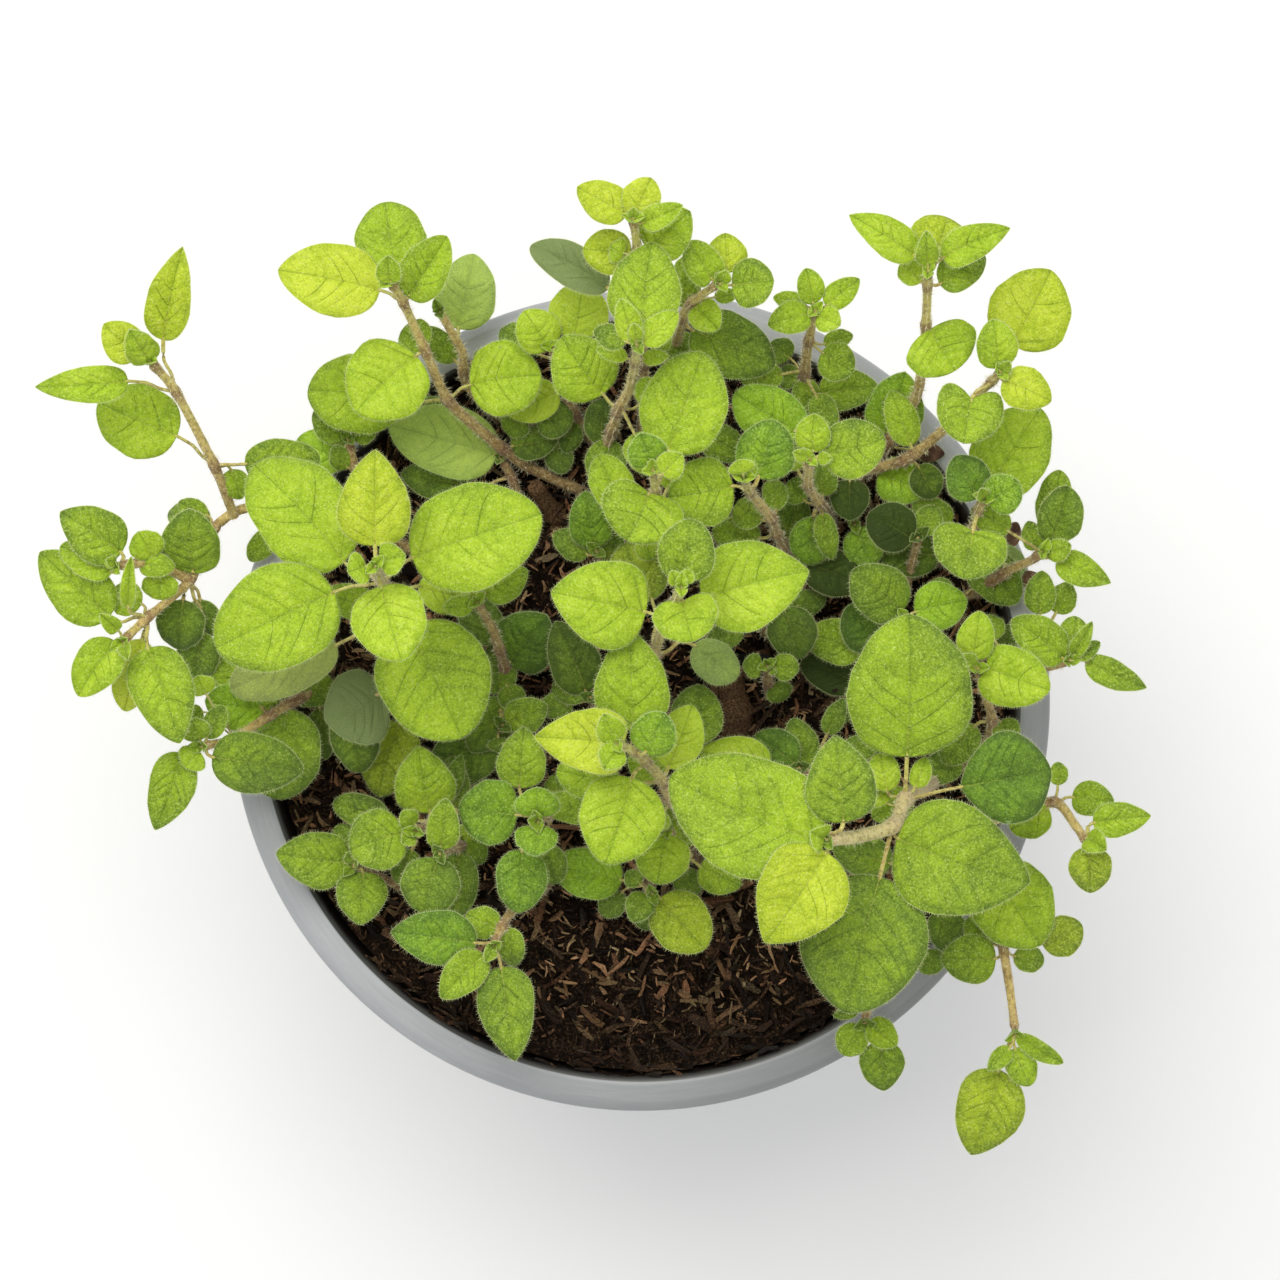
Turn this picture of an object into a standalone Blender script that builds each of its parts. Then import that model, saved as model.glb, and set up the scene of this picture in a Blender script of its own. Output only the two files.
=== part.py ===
"""Potted oregano: a round plastic pot, its soil and the leafy stems that stand in it.

Units are metres in the model and millimetres in this script. The pot rests on z = 0 and its
axis is the z axis. Places on the plant were read by eye as columns and rows of a picture
taken from straight above. picture_place() turns them into millimetres.
"""
import math

import bmesh
import bpy
from mathutils import Matrix, Vector
from mathutils.bvhtree import BVHTree

MM = 0.001

# Pot: a tapered cup, and a skirt under its flat rim
POT_HEIGHT = 125.0
BASE_R = 58.0
WALL = 2.5
FLOOR = 3.0
WALL_TOP_R = 77.3
SKIRT_DEPTH = 14.0
SKIRT_LOW_R = 80.8
RIM_OUTER_R = 82.4
RIM_INNER_R = 75.4
RIM_EDGE = ((0.0, 2.0), (1.2, 0.3), (3.4, 0.0))
THROAT_IN = 0.7
THROAT_DEPTH = 4.0
POT_SIDES = 48

# Soil: a plug with a domed, lumpy top that drops at the wall
SOIL_GAP = 0.3
SOIL_TOP = -6.5
SOIL_DOME = 2.0
SOIL_SHOULDER = 0.8
SHOULDER_SHARE = 0.86
SOIL_RINGS = (SHOULDER_SHARE, 0.62, 0.34, 0.0)
SOIL_SIDES = 24
FACET_CLEAR = 0.995

# Root holes in the soil
HOLE_DEPTH = 11.0
HOLE_GAP = 0.35
FOOT_ABOVE_HOLE = 0.8
COLLAR_ABOVE_SOIL = 1.2
HOLE_ABOVE_COLLAR = 6.0

# Picture scale: one pixel on the rim plane, the picture's middle, and the camera's height
PIXEL_MM = 0.2
PICTURE_MIDDLE = 640.0
MIDDLE_Y = 12.2
CAMERA_ABOVE_RIM = 900.0

# Stems: radii, and the stretch of their heights to a grown plant's
STEM_R = 1.25
STEM_TIP_R = 0.75
SIDE_STEM_R = 0.95
TIP_BEYOND = 0.9
STEM_SIDES = 4
SIDE_GUIDE = (0.31, 0.95, 0.0)
HEIGHT_STRETCH = 1.25
NEAREST_STEPS = 8

# Leaf stalks
PETIOLE_HALF = 0.55
PETIOLE_DEEP = 0.85
PETIOLE_START = 0.25
PETIOLE_NARROW = 0.55
SHORTEST_PETIOLE = 1.2
LONGEST_SHARE = 0.6
START_SPREAD = 0.12
MOST_BEND = math.radians(62)
STALK_POINTS = 6

# Leaf blades: thickness, arch and fold as shares, and half outlines for wide, middling and
# narrow ones (widths in pixels) as (share of the length, share of the half width)
BLADE = 0.7
BLADE_ARCH = 0.28
USUAL_FOLD = 0.16
LARGE_LEAF = 57.0
TINY_LEAF = 23.0
LARGE_OUTLINE = ((0.10, 0.66), (0.40, 1.0), (0.78, 0.72))
MEDIUM_OUTLINE = ((0.20, 0.88), (0.66, 0.88))
TINY_OUTLINE = ((0.48, 1.0),)

# Clearing: the gap kept round a leaf, and the lifts of the tip in millimetres and swings about
# the stem in degrees that a leaf may take to clear what is already there
LEAF_GAP = 0.35
TIP_LIFTS = (0, -1.5, 1.5, -3, 3, -4.5, 4.5, -6.5, 6.5, -9, 9, -12, 12)
TIP_SWINGS = (0, 7, -7, 15, -15)
SWING_COST = 0.25
SLIVER_SHARE = 0.87

# Colours and roughness
POT_LOOK = ((0.38, 0.40, 0.42), 0.38)
SOIL_LOOK = ((0.028, 0.016, 0.010), 0.95)
LEAF_ROUGHNESS = 0.55
LEAF_COLOURS = ((30.0, (0.36, 0.50, 0.045)), (16.0, (0.22, 0.37, 0.05)), (-99.0, (0.12, 0.24, 0.045)))

# Every shoot: its axes from the root outward as (column, row, height above the rim), where the
# root has no height, and its whorls as (column, row): leaves. A leaf is (base column, base row,
# tip column, tip row, width in pixels, lift of the tip in mm) and may end with its own fold.
SHOOTS = {
    "stem_far_left": (
        [[(430, 560), (388, 538, 0), (330, 515, 8), (247, 508, 14), (213, 530, 15), (190, 580, 17),
          (147, 618, 22), (124, 640, 25)],
         [(232, 517, 14.5), (214, 465, 22), (176, 392, 33), (151, 362, 38)],
         [(190, 580, 17), (150, 563, 22), (118, 566, 25)]],
        {(176, 392): [(163, 340, 182, 247, 46, 6, 0.5), (128, 381, 35, 387, 38, 4, 0.25)],
         (153, 365): [(140, 356, 104, 324, 42, 3), (150, 362, 130, 331, 34, 8)],
         (214, 465): [(177, 436, 98, 402, 74, 2, 0.05), (245, 464, 320, 458, 46, -4),
                      (231, 470, 240, 500, 30, -6)],
         (190, 578): [(193, 573, 190, 510, 62, 9), (183, 600, 180, 650, 50, -6),
                      (200, 600, 205, 640, 36, -9), (202, 632, 196, 681, 44, -12)],
         (213, 528): [(218, 520, 166, 514, 34, -4), (207, 515, 178, 502, 22, -2)],
         (147, 618): [(109, 617, 40, 552, 62, 3), (148, 648, 179, 743, 64, 2),
                      (150, 600, 112, 592, 36, -3), (142, 640, 124, 712, 42, -7),
                      (128, 608, 131, 557, 16, 9, 0.6)],
         (124, 640): [(117, 642, 78, 696, 48, 1, 0.3), (118, 630, 100, 614, 18, 5, 0.6),
                      (124, 646, 128, 660, 14, 5, 0.6)],
         (122, 566): [(134, 552, 60, 512, 56, 3), (112, 572, 60, 546, 38, -1),
                      (116, 562, 106, 560, 12, 4)],
         (152, 563): [(160, 562, 138, 532, 36, 5), (167, 567, 160, 600, 38, -2)]}),
    "stem_left_low": (
        [[(422, 678), (345, 684, -1), (290, 703, 7), (235, 738, 13), (203, 746, 17)]],
        {(290, 703): [(287, 708, 277, 799, 80, -5), (278, 707, 205, 701, 52, 4)],
         (235, 738): [(206, 694, 197, 676, 28, 7), (203, 712, 190, 716, 20, 2)],
         (203, 746): [(212, 757, 303, 769, 62, 0), (201, 741, 184, 767, 32, 3),
                      (200, 740, 191, 718, 30, 4),
                      (182, 753, 155, 830, 48, -3, 0.3)]}),
    "stem_upper_left": (
        [[(582, 492), (525, 465, 1), (480, 430, 8), (447, 399, 14), (425, 350, 22), (403, 302, 31),
          (391, 283, 35)]],
        {(391, 284): [(391, 292, 388, 256, 26, 5, 0.4), (390, 284, 394, 275, 12, 3)],
         (403, 302): [(380, 290, 278, 270, 74, 2), (398, 277, 385, 202, 72, 0),
                      (408, 297, 447, 236, 50, 5, 0.5)],
         (425, 350): [(416, 356, 356, 412, 86, 4), (440, 352, 402, 330, 42, -6)],
         (447, 399): [(470, 385, 541, 375, 76, 2), (405, 402, 307, 390, 80, -3)]}),
    "stem_upper_back": (
        [[(497, 418), (466, 382, 6), (462, 352, 14), (440, 312, 23)]],
        {(465, 372): [(458, 329, 474, 254, 62, 3, 0.2), (474, 360, 494, 352, 18, 4)]}),
    "stem_left_middle": (
        [[(425, 640), (398, 608, 20), (382, 582, 36), (376, 570, 46), (375, 566, 50)]],
        {(375, 567): [(366, 566, 348, 572, 34, 3, 0.3), (381, 562, 405, 556, 34, 3, 0.3)],
         (377, 572): [(375, 546, 375, 450, 74, 3), (381, 586, 402, 661, 76, 3)],
         (382, 582): [(412, 558, 541, 514, 106, 3), (334, 592, 216, 648, 104, 2),
                      (344, 562, 253, 464, 96, -4)],
         (398, 608): [(410, 626, 462, 738, 114, 0), (336, 645, 230, 690, 60, -9),
                      (415, 580, 478, 599, 42, -5)]}),
    "stem_left_under": (
        [[(457, 708), (424, 692, 2), (390, 692, 8), (348, 702, 11)]],
        {(390, 692): [(402, 694, 326, 720, 78, 5)],
         (424, 692): [(400, 722, 378, 797, 60, -3)],
         (348, 702): [(346, 704, 370, 770, 50, -5)]}),
    "stem_rim_left": (
        [[(402, 886), (372, 874, 0), (354, 867, 5)]],
        {(354, 867): [(348, 863, 276, 853, 58, 2), (363, 872, 360, 925, 52, 2),
                      (354, 862, 349, 852, 18, 3), (356, 850, 336, 826, 30, -1)]}),
    "stem_low_left": (
        [[(452, 812), (432, 822, 7), (416, 831, 14)]],
        {(417, 830): [(404, 833, 350, 850, 62, 2), (415, 824, 402, 812, 22, 3),
                      (414, 835, 402, 843, 18, 3)],
         (432, 822): [(388, 818, 332, 802, 34, -6), (412, 850, 400, 885, 30, -6),
                      (430, 812, 418, 747, 62, 6)]}),
    "stem_low_left_inner": (
        [[(478, 842), (458, 846, 5), (440, 853, 14)]],
        {(440, 853): [(439, 857, 446, 799, 34, 6, 0.3), (438, 858, 424, 914, 60, 1)],
         (458, 846): [(467, 838, 452, 920, 46, -2), (456, 810, 452, 756, 32, -2)]}),
    "stem_low_middle": (
        [[(566, 806), (552, 812, 8), (538, 821, 18)]],
        {(538, 821): [(538, 820, 537, 788, 46, 4), (537, 823, 535, 856, 44, 4),
                      (536, 821, 528, 820, 12, 4)],
         (545, 817): [(517, 815, 459, 808, 66, 1), (522, 850, 518, 913, 52, 0),
                      (519, 788, 524, 727, 50, 2)],
         (552, 812): [(545, 845, 556, 884, 36, -5), (562, 800, 556, 774, 30, -2)]}),
    "stem_low_front": (
        [[(548, 884), (515, 908, 8), (502, 926, 13), (494, 945, 17)]],
        {(496, 942): [(476, 943, 391, 932, 56, 1), (484, 955, 441, 998, 40, 3, 0.3),
                      (501, 967, 515, 1061, 58, 2), (493, 950, 485, 962, 14, 2, 0.5)],
         (502, 926): [(498, 930, 466, 914, 34, 0), (508, 928, 513, 967, 28, -5)]}),
    "stem_front_small": (
        [[(692, 856), (680, 842, 3), (668, 829, 11)]],
        {(668, 829): [(668, 832, 657, 884, 56, 3), (664, 826, 654, 803, 28, 1)],
         (680, 842): [(688, 868, 688, 900, 30, -4), (700, 866, 741, 886, 40, 0)]}),
    "stem_front_tiny": (
        [[(650, 868), (648, 884, 0), (652, 893, 7)]],
        {(652, 893): [(646, 889, 632, 921, 30, 2), (660, 898, 705, 949, 60, 3),
                      (640, 884, 626, 872, 20, 1)],
         (648, 884): [(622, 880, 551, 865, 52, 3), (622, 892, 602, 916, 28, -1),
                      (642, 905, 648, 930, 24, -3)]}),
    "stem_centre_front": (
        [[(702, 832), (672, 800, 18), (659, 776, 28), (637, 753, 37), (617, 744, 43)]],
        {(617, 744): [(616, 741, 604, 714, 30, 4, 0.3), (620, 748, 604, 769, 30, 3, 0.3)],
         (634, 752): [(624, 744, 534, 737, 66, 1), (645, 768, 664, 713, 46, 7)],
         (645, 762): [(632, 730, 629, 628, 76, 2), (632, 778, 605, 864, 86, 0)],
         (662, 782): [(668, 768, 692, 705, 48, 0), (618, 784, 556, 770, 46, -5)],
         (672, 800): [(690, 745, 700, 684, 54, -5), (664, 812, 654, 828, 24, -6)]}),
    "stem_centre": (
        [[(645, 690), (654, 655, 20), (664, 624, 36), (677, 598, 46), (681, 587, 51)]],
        {(681, 588): [(678, 584, 671, 571, 16, 2, 0.4), (684, 582, 691, 570, 16, 2, 0.4)],
         (677, 598): [(684, 581, 691, 519, 58, 3), (683, 601, 693, 641, 66, 3)],
         (665, 622): [(646, 612, 551, 592, 90, 3), (702, 600, 809, 571, 92, 2)],
         (654, 655): [(652, 600, 624, 543, 60, -6), (694, 638, 737, 678, 42, -4)]}),
    "stem_centre_back": (
        [[(650, 578), (657, 545, 12), (660, 520, 24), (656, 490, 34), (653, 471, 40)]],
        {(653, 471): [(652, 475, 640, 433, 40, 4), (658, 486, 682, 454, 30, 4),
                      (653, 468, 652, 459, 12, 3)],
         (656, 490): [(647, 487, 627, 541, 84, 2), (668, 452, 702, 352, 86, 0)],
         (660, 520): [(624, 510, 598, 455, 44, -3), (640, 535, 652, 560, 26, -6)]}),
    "stem_right_middle": (
        [[(792, 562), (776, 533, 10), (771, 518, 17), (750, 492, 28), (744, 478, 34)]],
        {(744, 478): [(747, 490, 740, 460, 28, 4), (748, 474, 756, 466, 12, 3)],
         (750, 492): [(733, 486, 668, 497, 70, 1), (758, 478, 774, 420, 60, 2)],
         (771, 518): [(762, 520, 736, 503, 36, -5), (776, 510, 772, 478, 26, -5)],
         (776, 533): [(760, 538, 712, 531, 36, -4)]}),
    "stem_right_middle_small": (
        [[(833, 524), (819, 503, 10), (808, 485, 19), (810, 460, 30)]],
        {(810, 460): [(813, 452, 814, 414, 36, 4), (822, 455, 885, 438, 60, 3),
                      (806, 458, 794, 452, 14, 4),
                      (818, 459, 832, 458, 14, 3)],
         (808, 485): [(796, 432, 734, 393, 58, -2), (798, 470, 788, 442, 26, -6)],
         (819, 503): [(803, 508, 790, 480, 32, -1), (812, 516, 802, 564, 44, -5),
                      (822, 513, 832, 560, 24, -3)]}),
    "stem_back_centre": (
        [[(666, 388), (674, 352, 6), (683, 318, 21), (692, 302, 27), (718, 284, 34)]],
        {(718, 284): [(727, 273, 725, 233, 42, 4), (732, 285, 774, 281, 50, 4),
                      (712, 279, 688, 242, 38, 4),
                      (722, 282, 726, 271, 16, 4)],
         (692, 302): [(694, 306, 718, 330, 34, 2, 0.5), (715, 297, 738, 293, 16, -2)],
         (683, 318): [(692, 330, 776, 366, 66, -6), (668, 328, 648, 344, 36, -8)]}),
    "stem_tall_centre": (
        [[(602, 464), (606, 448, 8), (618, 412, 20), (629, 390, 27), (635, 362, 38), (637, 346, 45)]],
        {(637, 346): [(634, 346, 621, 300, 28, 5), (641, 346, 678, 312, 30, 4),
                      (636, 340, 634, 324, 16, 4),
                      (642, 336, 652, 241, 74, -3)],
         (635, 362): [(627, 358, 597, 349, 17, 2), (643, 359, 669, 356, 17, 2)],
         (618, 412): [(603, 394, 562, 337, 68, 4), (640, 404, 662, 380, 34, -4)],
         (606, 448): [(600, 446, 602, 398, 36, -3)]}),
    "stem_back_top": (
        [[(642, 438), (644, 395, 3), (642, 345, 17), (639, 290, 31), (637, 245, 38), (633, 220, 43)]],
        {(633, 221): [(627, 214, 577, 187, 42, 3), (637, 221, 651, 178, 40, 3),
                      (642, 223, 683, 205, 26, 5, 0.4),
                      (633, 219, 634, 208, 12, 3)],
         (638, 250): [(647, 248, 690, 211, 56, 5), (631, 256, 583, 249, 46, 0),
                      (633, 268, 610, 247, 28, 2)],
         (639, 290): [(608, 288, 530, 246, 44, -6, 0.3)]}),
    "stem_back_left": (
        [[(592, 442), (575, 415, 3), (568, 396, 7), (558, 362, 14), (553, 348, 18)]],
        {(554, 350): [(548, 357, 524, 311, 46, 4), (574, 338, 582, 282, 62, 3)],
         (568, 396): [(558, 391, 505, 413, 42, -5)],
         (558, 362): [(532, 350, 500, 330, 34, -8)]}),
    "stem_back_right_small": (
        [[(797, 412), (803, 385, 4), (808, 345, 16), (815, 312, 25)]],
        {(815, 312): [(813, 304, 806, 269, 28, 4), (826, 306, 859, 279, 28, 3),
                      (818, 315, 840, 325, 28, 2),
                      (810, 314, 768, 325, 34, 1), (806, 306, 773, 297, 20, -2)],
         (809, 343): [(822, 352, 853, 372, 40, 0), (824, 344, 853, 335, 20, -1)],
         (804, 374): [(790, 358, 771, 342, 30, 1), (800, 380, 776, 372, 26, -4),
                      (819, 394, 878, 386, 42, 0)]}),
    "stem_back_right": (
        [[(878, 462), (889, 441, 4), (912, 405, 10), (919, 388, 15), (923, 355, 24), (926, 325, 31),
          (928, 272, 43)]],
        {(928, 272): [(928, 264, 927, 232, 24, 6, 0.4), (916, 256, 850, 215, 40, 4, 0.3),
                      (943, 258, 1010, 228, 38, 4, 0.3), (934, 256, 948, 217, 62, -1)],
         (928, 284): [(940, 284, 986, 256, 40, -2), (921, 282, 902, 262, 30, -2)],
         (926, 325): [(929, 326, 955, 371, 76, -1, 0.2)],
         (889, 441): [(887, 434, 905, 372, 58, 9)]}),
    "stem_right_high": (
        [[(835, 497), (864, 472, 2), (905, 460, 9), (940, 433, 15), (975, 398, 24), (990, 383, 29),
          (1000, 373, 33)]],
        {(1000, 373): [(995, 375, 993, 320, 42, 5), (1003, 380, 1051, 401, 44, 2),
                       (1002, 371, 1010, 362, 14, 3)],
         (992, 381): [(1012, 346, 1051, 270, 84, 2), (972, 399, 964, 443, 68, 3)],
         (864, 472): [(879, 473, 927, 490, 48, 5), (850, 480, 850, 520, 40, 5)],
         (905, 460): [(918, 466, 936, 497, 34, -3)]}),
    "stem_right_inner": (
        [[(940, 562), (955, 545, 2), (974, 526, 12), (978, 510, 20), (983, 499, 24)]],
        {(983, 499): [(984, 498, 981, 489, 14, 4), (977, 502, 955, 456, 46, 4),
                      (988, 506, 1019, 482, 42, 4)],
         (978, 510): [(973, 531, 963, 579, 76, 4), (988, 491, 1041, 408, 78, 0)],
         (955, 545): [(948, 528, 914, 500, 38, 4), (975, 574, 1026, 562, 46, 4)]}),
    "stem_right_outer": (
        [[(946, 606), (982, 587, 4), (1010, 570, 9), (1032, 560, 13), (1042, 552, 16)]],
        {(1038, 556): [(1051, 542, 1068, 486, 46, 4, 0.4), (1057, 560, 1111, 583, 34, 2, 0.3),
                       (1046, 553, 1071, 545, 24, 5), (1036, 550, 1028, 521, 24, 3),
                       (1046, 528, 1060, 470, 36, 0)],
         (982, 587): [(950, 596, 930, 582, 24, -2)]}),
    "stem_right_thin": (
        [[(957, 656), (995, 655, 3), (1020, 662, 8), (1047, 667, 12), (1068, 661, 15)]],
        {(1068, 661): [(1069, 655, 1076, 616, 34, 2), (1073, 656, 1092, 622, 18, 5, 0.5),
                       (1075, 658, 1100, 642, 18, 3, 0.4), (1086, 661, 1147, 688, 30, 0, 0.3),
                       (1065, 664, 1013, 620, 44, 4, 0.3)],
         (1020, 662): [(1040, 614, 1042, 571, 32, 5), (1056, 613, 1070, 582, 30, 2),
                       (995, 640, 985, 615, 30, -3)]}),
    "stem_right_upright": (
        [[(962, 768), (984, 748, 3), (992, 720, 11), (985, 694, 16), (978, 670, 21)]],
        {(978, 670): [(973, 660, 980, 612, 38, 4), (987, 668, 1050, 690, 62, 3),
                      (974, 667, 961, 655, 18, 3)],
         (992, 720): [(1001, 715, 1014, 742, 30, -2), (975, 726, 944, 764, 38, -4)]}),
    "stem_big_rosette": (
        [[(938, 778), (922, 788, 16), (905, 800, 31), (893, 826, 39), (855, 837, 45), (828, 839, 50)]],
        {(829, 839): [(825, 838, 811, 832, 30, 4, 0.5), (848, 825, 835, 735, 72, 2),
                      (827, 852, 765, 943, 92, 1), (821, 842, 669, 777, 122, -3)],
         (893, 826): [(897, 838, 1030, 882, 116, 2), (880, 877, 846, 1013, 128, -1),
                      (878, 838, 870, 836, 12, 4)],
         (905, 800): [(907, 757, 909, 614, 126, 7), (961, 787, 1052, 770, 94, -3),
                      (887, 791, 881, 752, 34, -2),
                      (915, 787, 926, 757, 22, -2), (886, 812, 876, 790, 26, -4)]}),
    "stem_right_low": (
        [[(892, 872), (935, 866, 4), (978, 862, 11), (995, 885, 10), (1001, 915, 10), (1003, 945, 13),
          (1010, 990, 15), (1015, 1030, 15)]],
        {(978, 862): [(990, 868, 1040, 945, 84, 6)],
         (1003, 945): [(999, 962, 941, 958, 50, -2), (1042, 944, 1082, 925, 42, 2),
                       (1014, 956, 1044, 962, 28, -4), (994, 944, 967, 918, 34, -2)],
         (1015, 1030): [(999, 1070, 971, 1155, 70, -3), (1012, 1037, 1063, 1063, 20, 3, 0.5),
                        (1015, 1048, 1030, 1086, 32, 1), (1010, 1048, 988, 1070, 20, 4)],
         (935, 866): [(935, 912, 962, 955, 40, -3)]}),
    "stem_right_low_small": (
        [[(930, 832), (973, 826, 4), (1010, 814, 10), (1055, 802, 14), (1075, 825, 18),
          (1087, 842, 21)]],
        {(1055, 802): [(1072, 797, 1114, 803, 36, 4), (1048, 808, 1010, 830, 40, -3),
                       (1058, 785, 1058, 762, 20, 1)],
         (1086, 841): [(1093, 823, 1151, 816, 36, 2), (1089, 847, 1091, 893, 44, 1),
                       (1082, 834, 1106, 850, 26, 5, 0.5)]}),
    "stem_front_right_small": (
        [[(851, 962), (858, 985, 2), (867, 1005, 8), (865, 1022, 12)]],
        {(865, 1022): [(880, 1042, 884, 1091, 46, -2), (860, 1025, 843, 1055, 34, 2),
                       (869, 1017, 896, 1045, 30, 4)],
         (867, 1005): [(858, 1010, 833, 1016, 14, -1)]}),
    "stem_middle_tiny": (
        [[(770, 702), (768, 682, 2), (767, 666, 8)]],
        {(767, 666): [(762, 666, 743, 665, 26, 2), (773, 666, 799, 667, 28, 2),
                      (770, 670, 776, 674, 8, 2)],
         (768, 682): [(775, 679, 785, 700, 28, -1)]}),
    "stem_right_core": (
        [[(886, 668), (893, 645, 3), (905, 620, 11)]],
        {(905, 620): [(902, 612, 853, 570, 57, 4), (915, 612, 967, 600, 50, 3)],
         (893, 645): [(878, 656, 848, 606, 52, 5), (862, 650, 806, 634, 46, 0)],
         (886, 664): [(862, 690, 801, 662, 44, 2), (852, 712, 826, 714, 22, 0)]}),
    "stem_middle_core": (
        [[(764, 632), (768, 614, 2), (776, 600, 8)]],
        {(776, 600): [(784, 608, 800, 659, 50, 1)]}),
    "stem_right_front_core": (
        [[(818, 792), (812, 780, 1), (800, 768, 8)]],
        {(800, 768): [(796, 764, 755, 735, 44, 1), (770, 765, 699, 752, 44, 8)]}),
    "stem_right_back_core": (
        [[(904, 592), (912, 562, 3), (918, 538, 9)]],
        {(918, 538): [(912, 539, 868, 515, 50, 1), (920, 536, 936, 506, 30, 0)]}),
    "stem_back_core_small": (
        [[(851, 514), (853, 519, 1), (854, 523, 3)]],
        {(853, 523): [(856, 528, 872, 566, 42, 1)]}),
    "stem_left_core": (
        [[(514, 694), (505, 668, 2), (494, 632, 11), (478, 603, 19)]],
        {(478, 603): [(484, 594, 527, 570, 38, 2), (474, 605, 444, 608, 22, 2)],
         (505, 668): [(504, 670, 546, 616, 66, 7), (507, 686, 516, 710, 28, 1)]}),
    "stem_middle_left_core": (
        [[(604, 718), (597, 708, 0), (591, 698, 5)]],
        {(591, 698): [(586, 692, 556, 622, 52, 4), (592, 702, 552, 686, 28, 1)]}),
    "stem_left_front_core": (
        [[(500, 758), (501, 740, 0), (502, 726, 5)]],
        {(502, 726): [(505, 722, 547, 706, 38, 2), (498, 738, 500, 752, 24, -1)]}),
    "stem_upper_core": (
        [[(520, 502), (512, 478, 0), (502, 460, 2)]],
        {(502, 460): [(497, 455, 389, 425, 72, 1), (478, 436, 404, 404, 44, 0)],
         (512, 478): [(470, 486, 401, 474, 42, -1)]}),
    "stem_upper_left_core": (
        [[(402, 492), (375, 482, 1), (356, 468, 4), (349, 442, 7)]],
        {(349, 442): [(346, 438, 314, 411, 36, 2), (353, 438, 374, 420, 26, 2)],
         (356, 468): [(345, 462, 297, 440, 44, 2), (348, 468, 334, 446, 24, 4)]}),
    "stem_back_core": (
        [[(538, 440), (530, 432, 0), (521, 410, 5)]],
        {(521, 410): [(522, 416, 507, 434, 32, -1), (536, 420, 573, 416, 40, 1)],
         (530, 432): [(556, 442, 563, 474, 30, 2)]}),
    "stem_middle_core_small": (
        [[(604, 574), (600, 562, 0), (597, 552, 5)]],
        {(597, 552): [(596, 548, 585, 492, 44, 4), (590, 562, 553, 533, 32, 1)]}),
}


def picture_place(column, row, height):
    """Millimetres in the world for a picture place that lies `height` above the rim."""
    scale = pixel_size(height)
    return Vector(((column - PICTURE_MIDDLE) * scale, MIDDLE_Y + (PICTURE_MIDDLE - row) * scale,
                   POT_HEIGHT + height))


def pixel_size(height):
    """Millimetres that one pixel covers at a height above the rim."""
    return PIXEL_MM * (CAMERA_ABOVE_RIM - height) / CAMERA_ABOVE_RIM


def inner_radius(z):
    """Inside radius of the pot at height z."""
    low = BASE_R - WALL
    share = (z - FLOOR) / (POT_HEIGHT - THROAT_DEPTH - FLOOR)
    return low + (RIM_INNER_R - THROAT_IN - low) * share


def soil_height(x, y):
    """Top of the soil above a plan place: a low dome, coarse lumps and a drop at the wall."""
    edge = inner_radius(POT_HEIGHT + SOIL_TOP) - SOIL_GAP
    share = min(1.0, math.hypot(x, y) / edge)
    lumps = 0.7 * math.sin(x * 0.19 + 1.3) * math.cos(y * 0.23) + 0.5 * math.sin(x * 0.41 - y * 0.33)
    drop = SOIL_SHOULDER * (max(0.0, share - SHOULDER_SHARE) / (1.0 - SHOULDER_SHARE)) ** 2
    dome = SOIL_DOME * (1.0 - share ** 2)
    return POT_HEIGHT + SOIL_TOP + dome + lumps * (1.0 - share ** 4) - drop


def make_object(name, verts, faces):
    """A mesh object from millimetre points, in triangles whose faces are turned outward."""
    mesh = bpy.data.meshes.new(name)
    mesh.from_pydata([tuple(Vector(v) * MM) for v in verts], [], faces)
    work = bmesh.new()
    work.from_mesh(mesh)
    bmesh.ops.triangulate(work, faces=work.faces)
    bmesh.ops.recalc_face_normals(work, faces=work.faces)
    work.to_mesh(mesh)
    work.free()
    result = bpy.data.objects.new(name, mesh)
    bpy.context.scene.collection.objects.link(result)
    return result


def make_material(name, colour, roughness):
    """A plain material for one sub-part."""
    material = bpy.data.materials.new(name)
    material.use_nodes = True
    shader = material.node_tree.nodes["Principled BSDF"]
    shader.inputs["Base Color"].default_value = (*colour, 1.0)
    shader.inputs["Roughness"].default_value = roughness
    shader.inputs["Metallic"].default_value = 0.0
    material.diffuse_color = (*colour, 1.0)
    return material


def turned(name, profile, sides):
    """A closed solid of revolution from (radius, height) points that start and end on the axis."""
    verts, faces, rings = [], [], []
    for radius, height in profile:
        corners = sides if radius > 0.0 else 1
        rings.append([len(verts) + k for k in range(corners)])
        for k in range(corners):
            angle = 2.0 * math.pi * (k + 0.5) / sides
            verts.append((radius * math.cos(angle), radius * math.sin(angle), height))
    for low, high in zip(rings, rings[1:]):
        for k in range(sides):
            after = (k + 1) % sides
            if len(low) == 1:
                faces.append((low[0], high[k], high[after]))
            elif len(high) == 1:
                faces.append((low[k], high[0], low[after]))
            else:
                faces.append((low[k], low[after], high[after], high[k]))
    return make_object(name, verts, faces)


def join_all(target, others, operation):
    """Apply one Boolean of `target` with all `others`, then remove them."""
    group = bpy.data.collections.new("operands")
    bpy.context.scene.collection.children.link(group)
    for other in others:
        bpy.context.scene.collection.objects.unlink(other)
        group.objects.link(other)
        other.hide_render = True
        other.display_type = "WIRE"
    step = target.modifiers.new("join", "BOOLEAN")
    step.operation = operation
    step.operand_type = "COLLECTION"
    step.collection = group
    step.solver = "MANIFOLD"
    bpy.context.view_layer.objects.active = target
    bpy.ops.object.modifier_apply(modifier=step.name)
    for other in others:
        bpy.data.objects.remove(other, do_unlink=True)
    bpy.data.collections.remove(group)


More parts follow.
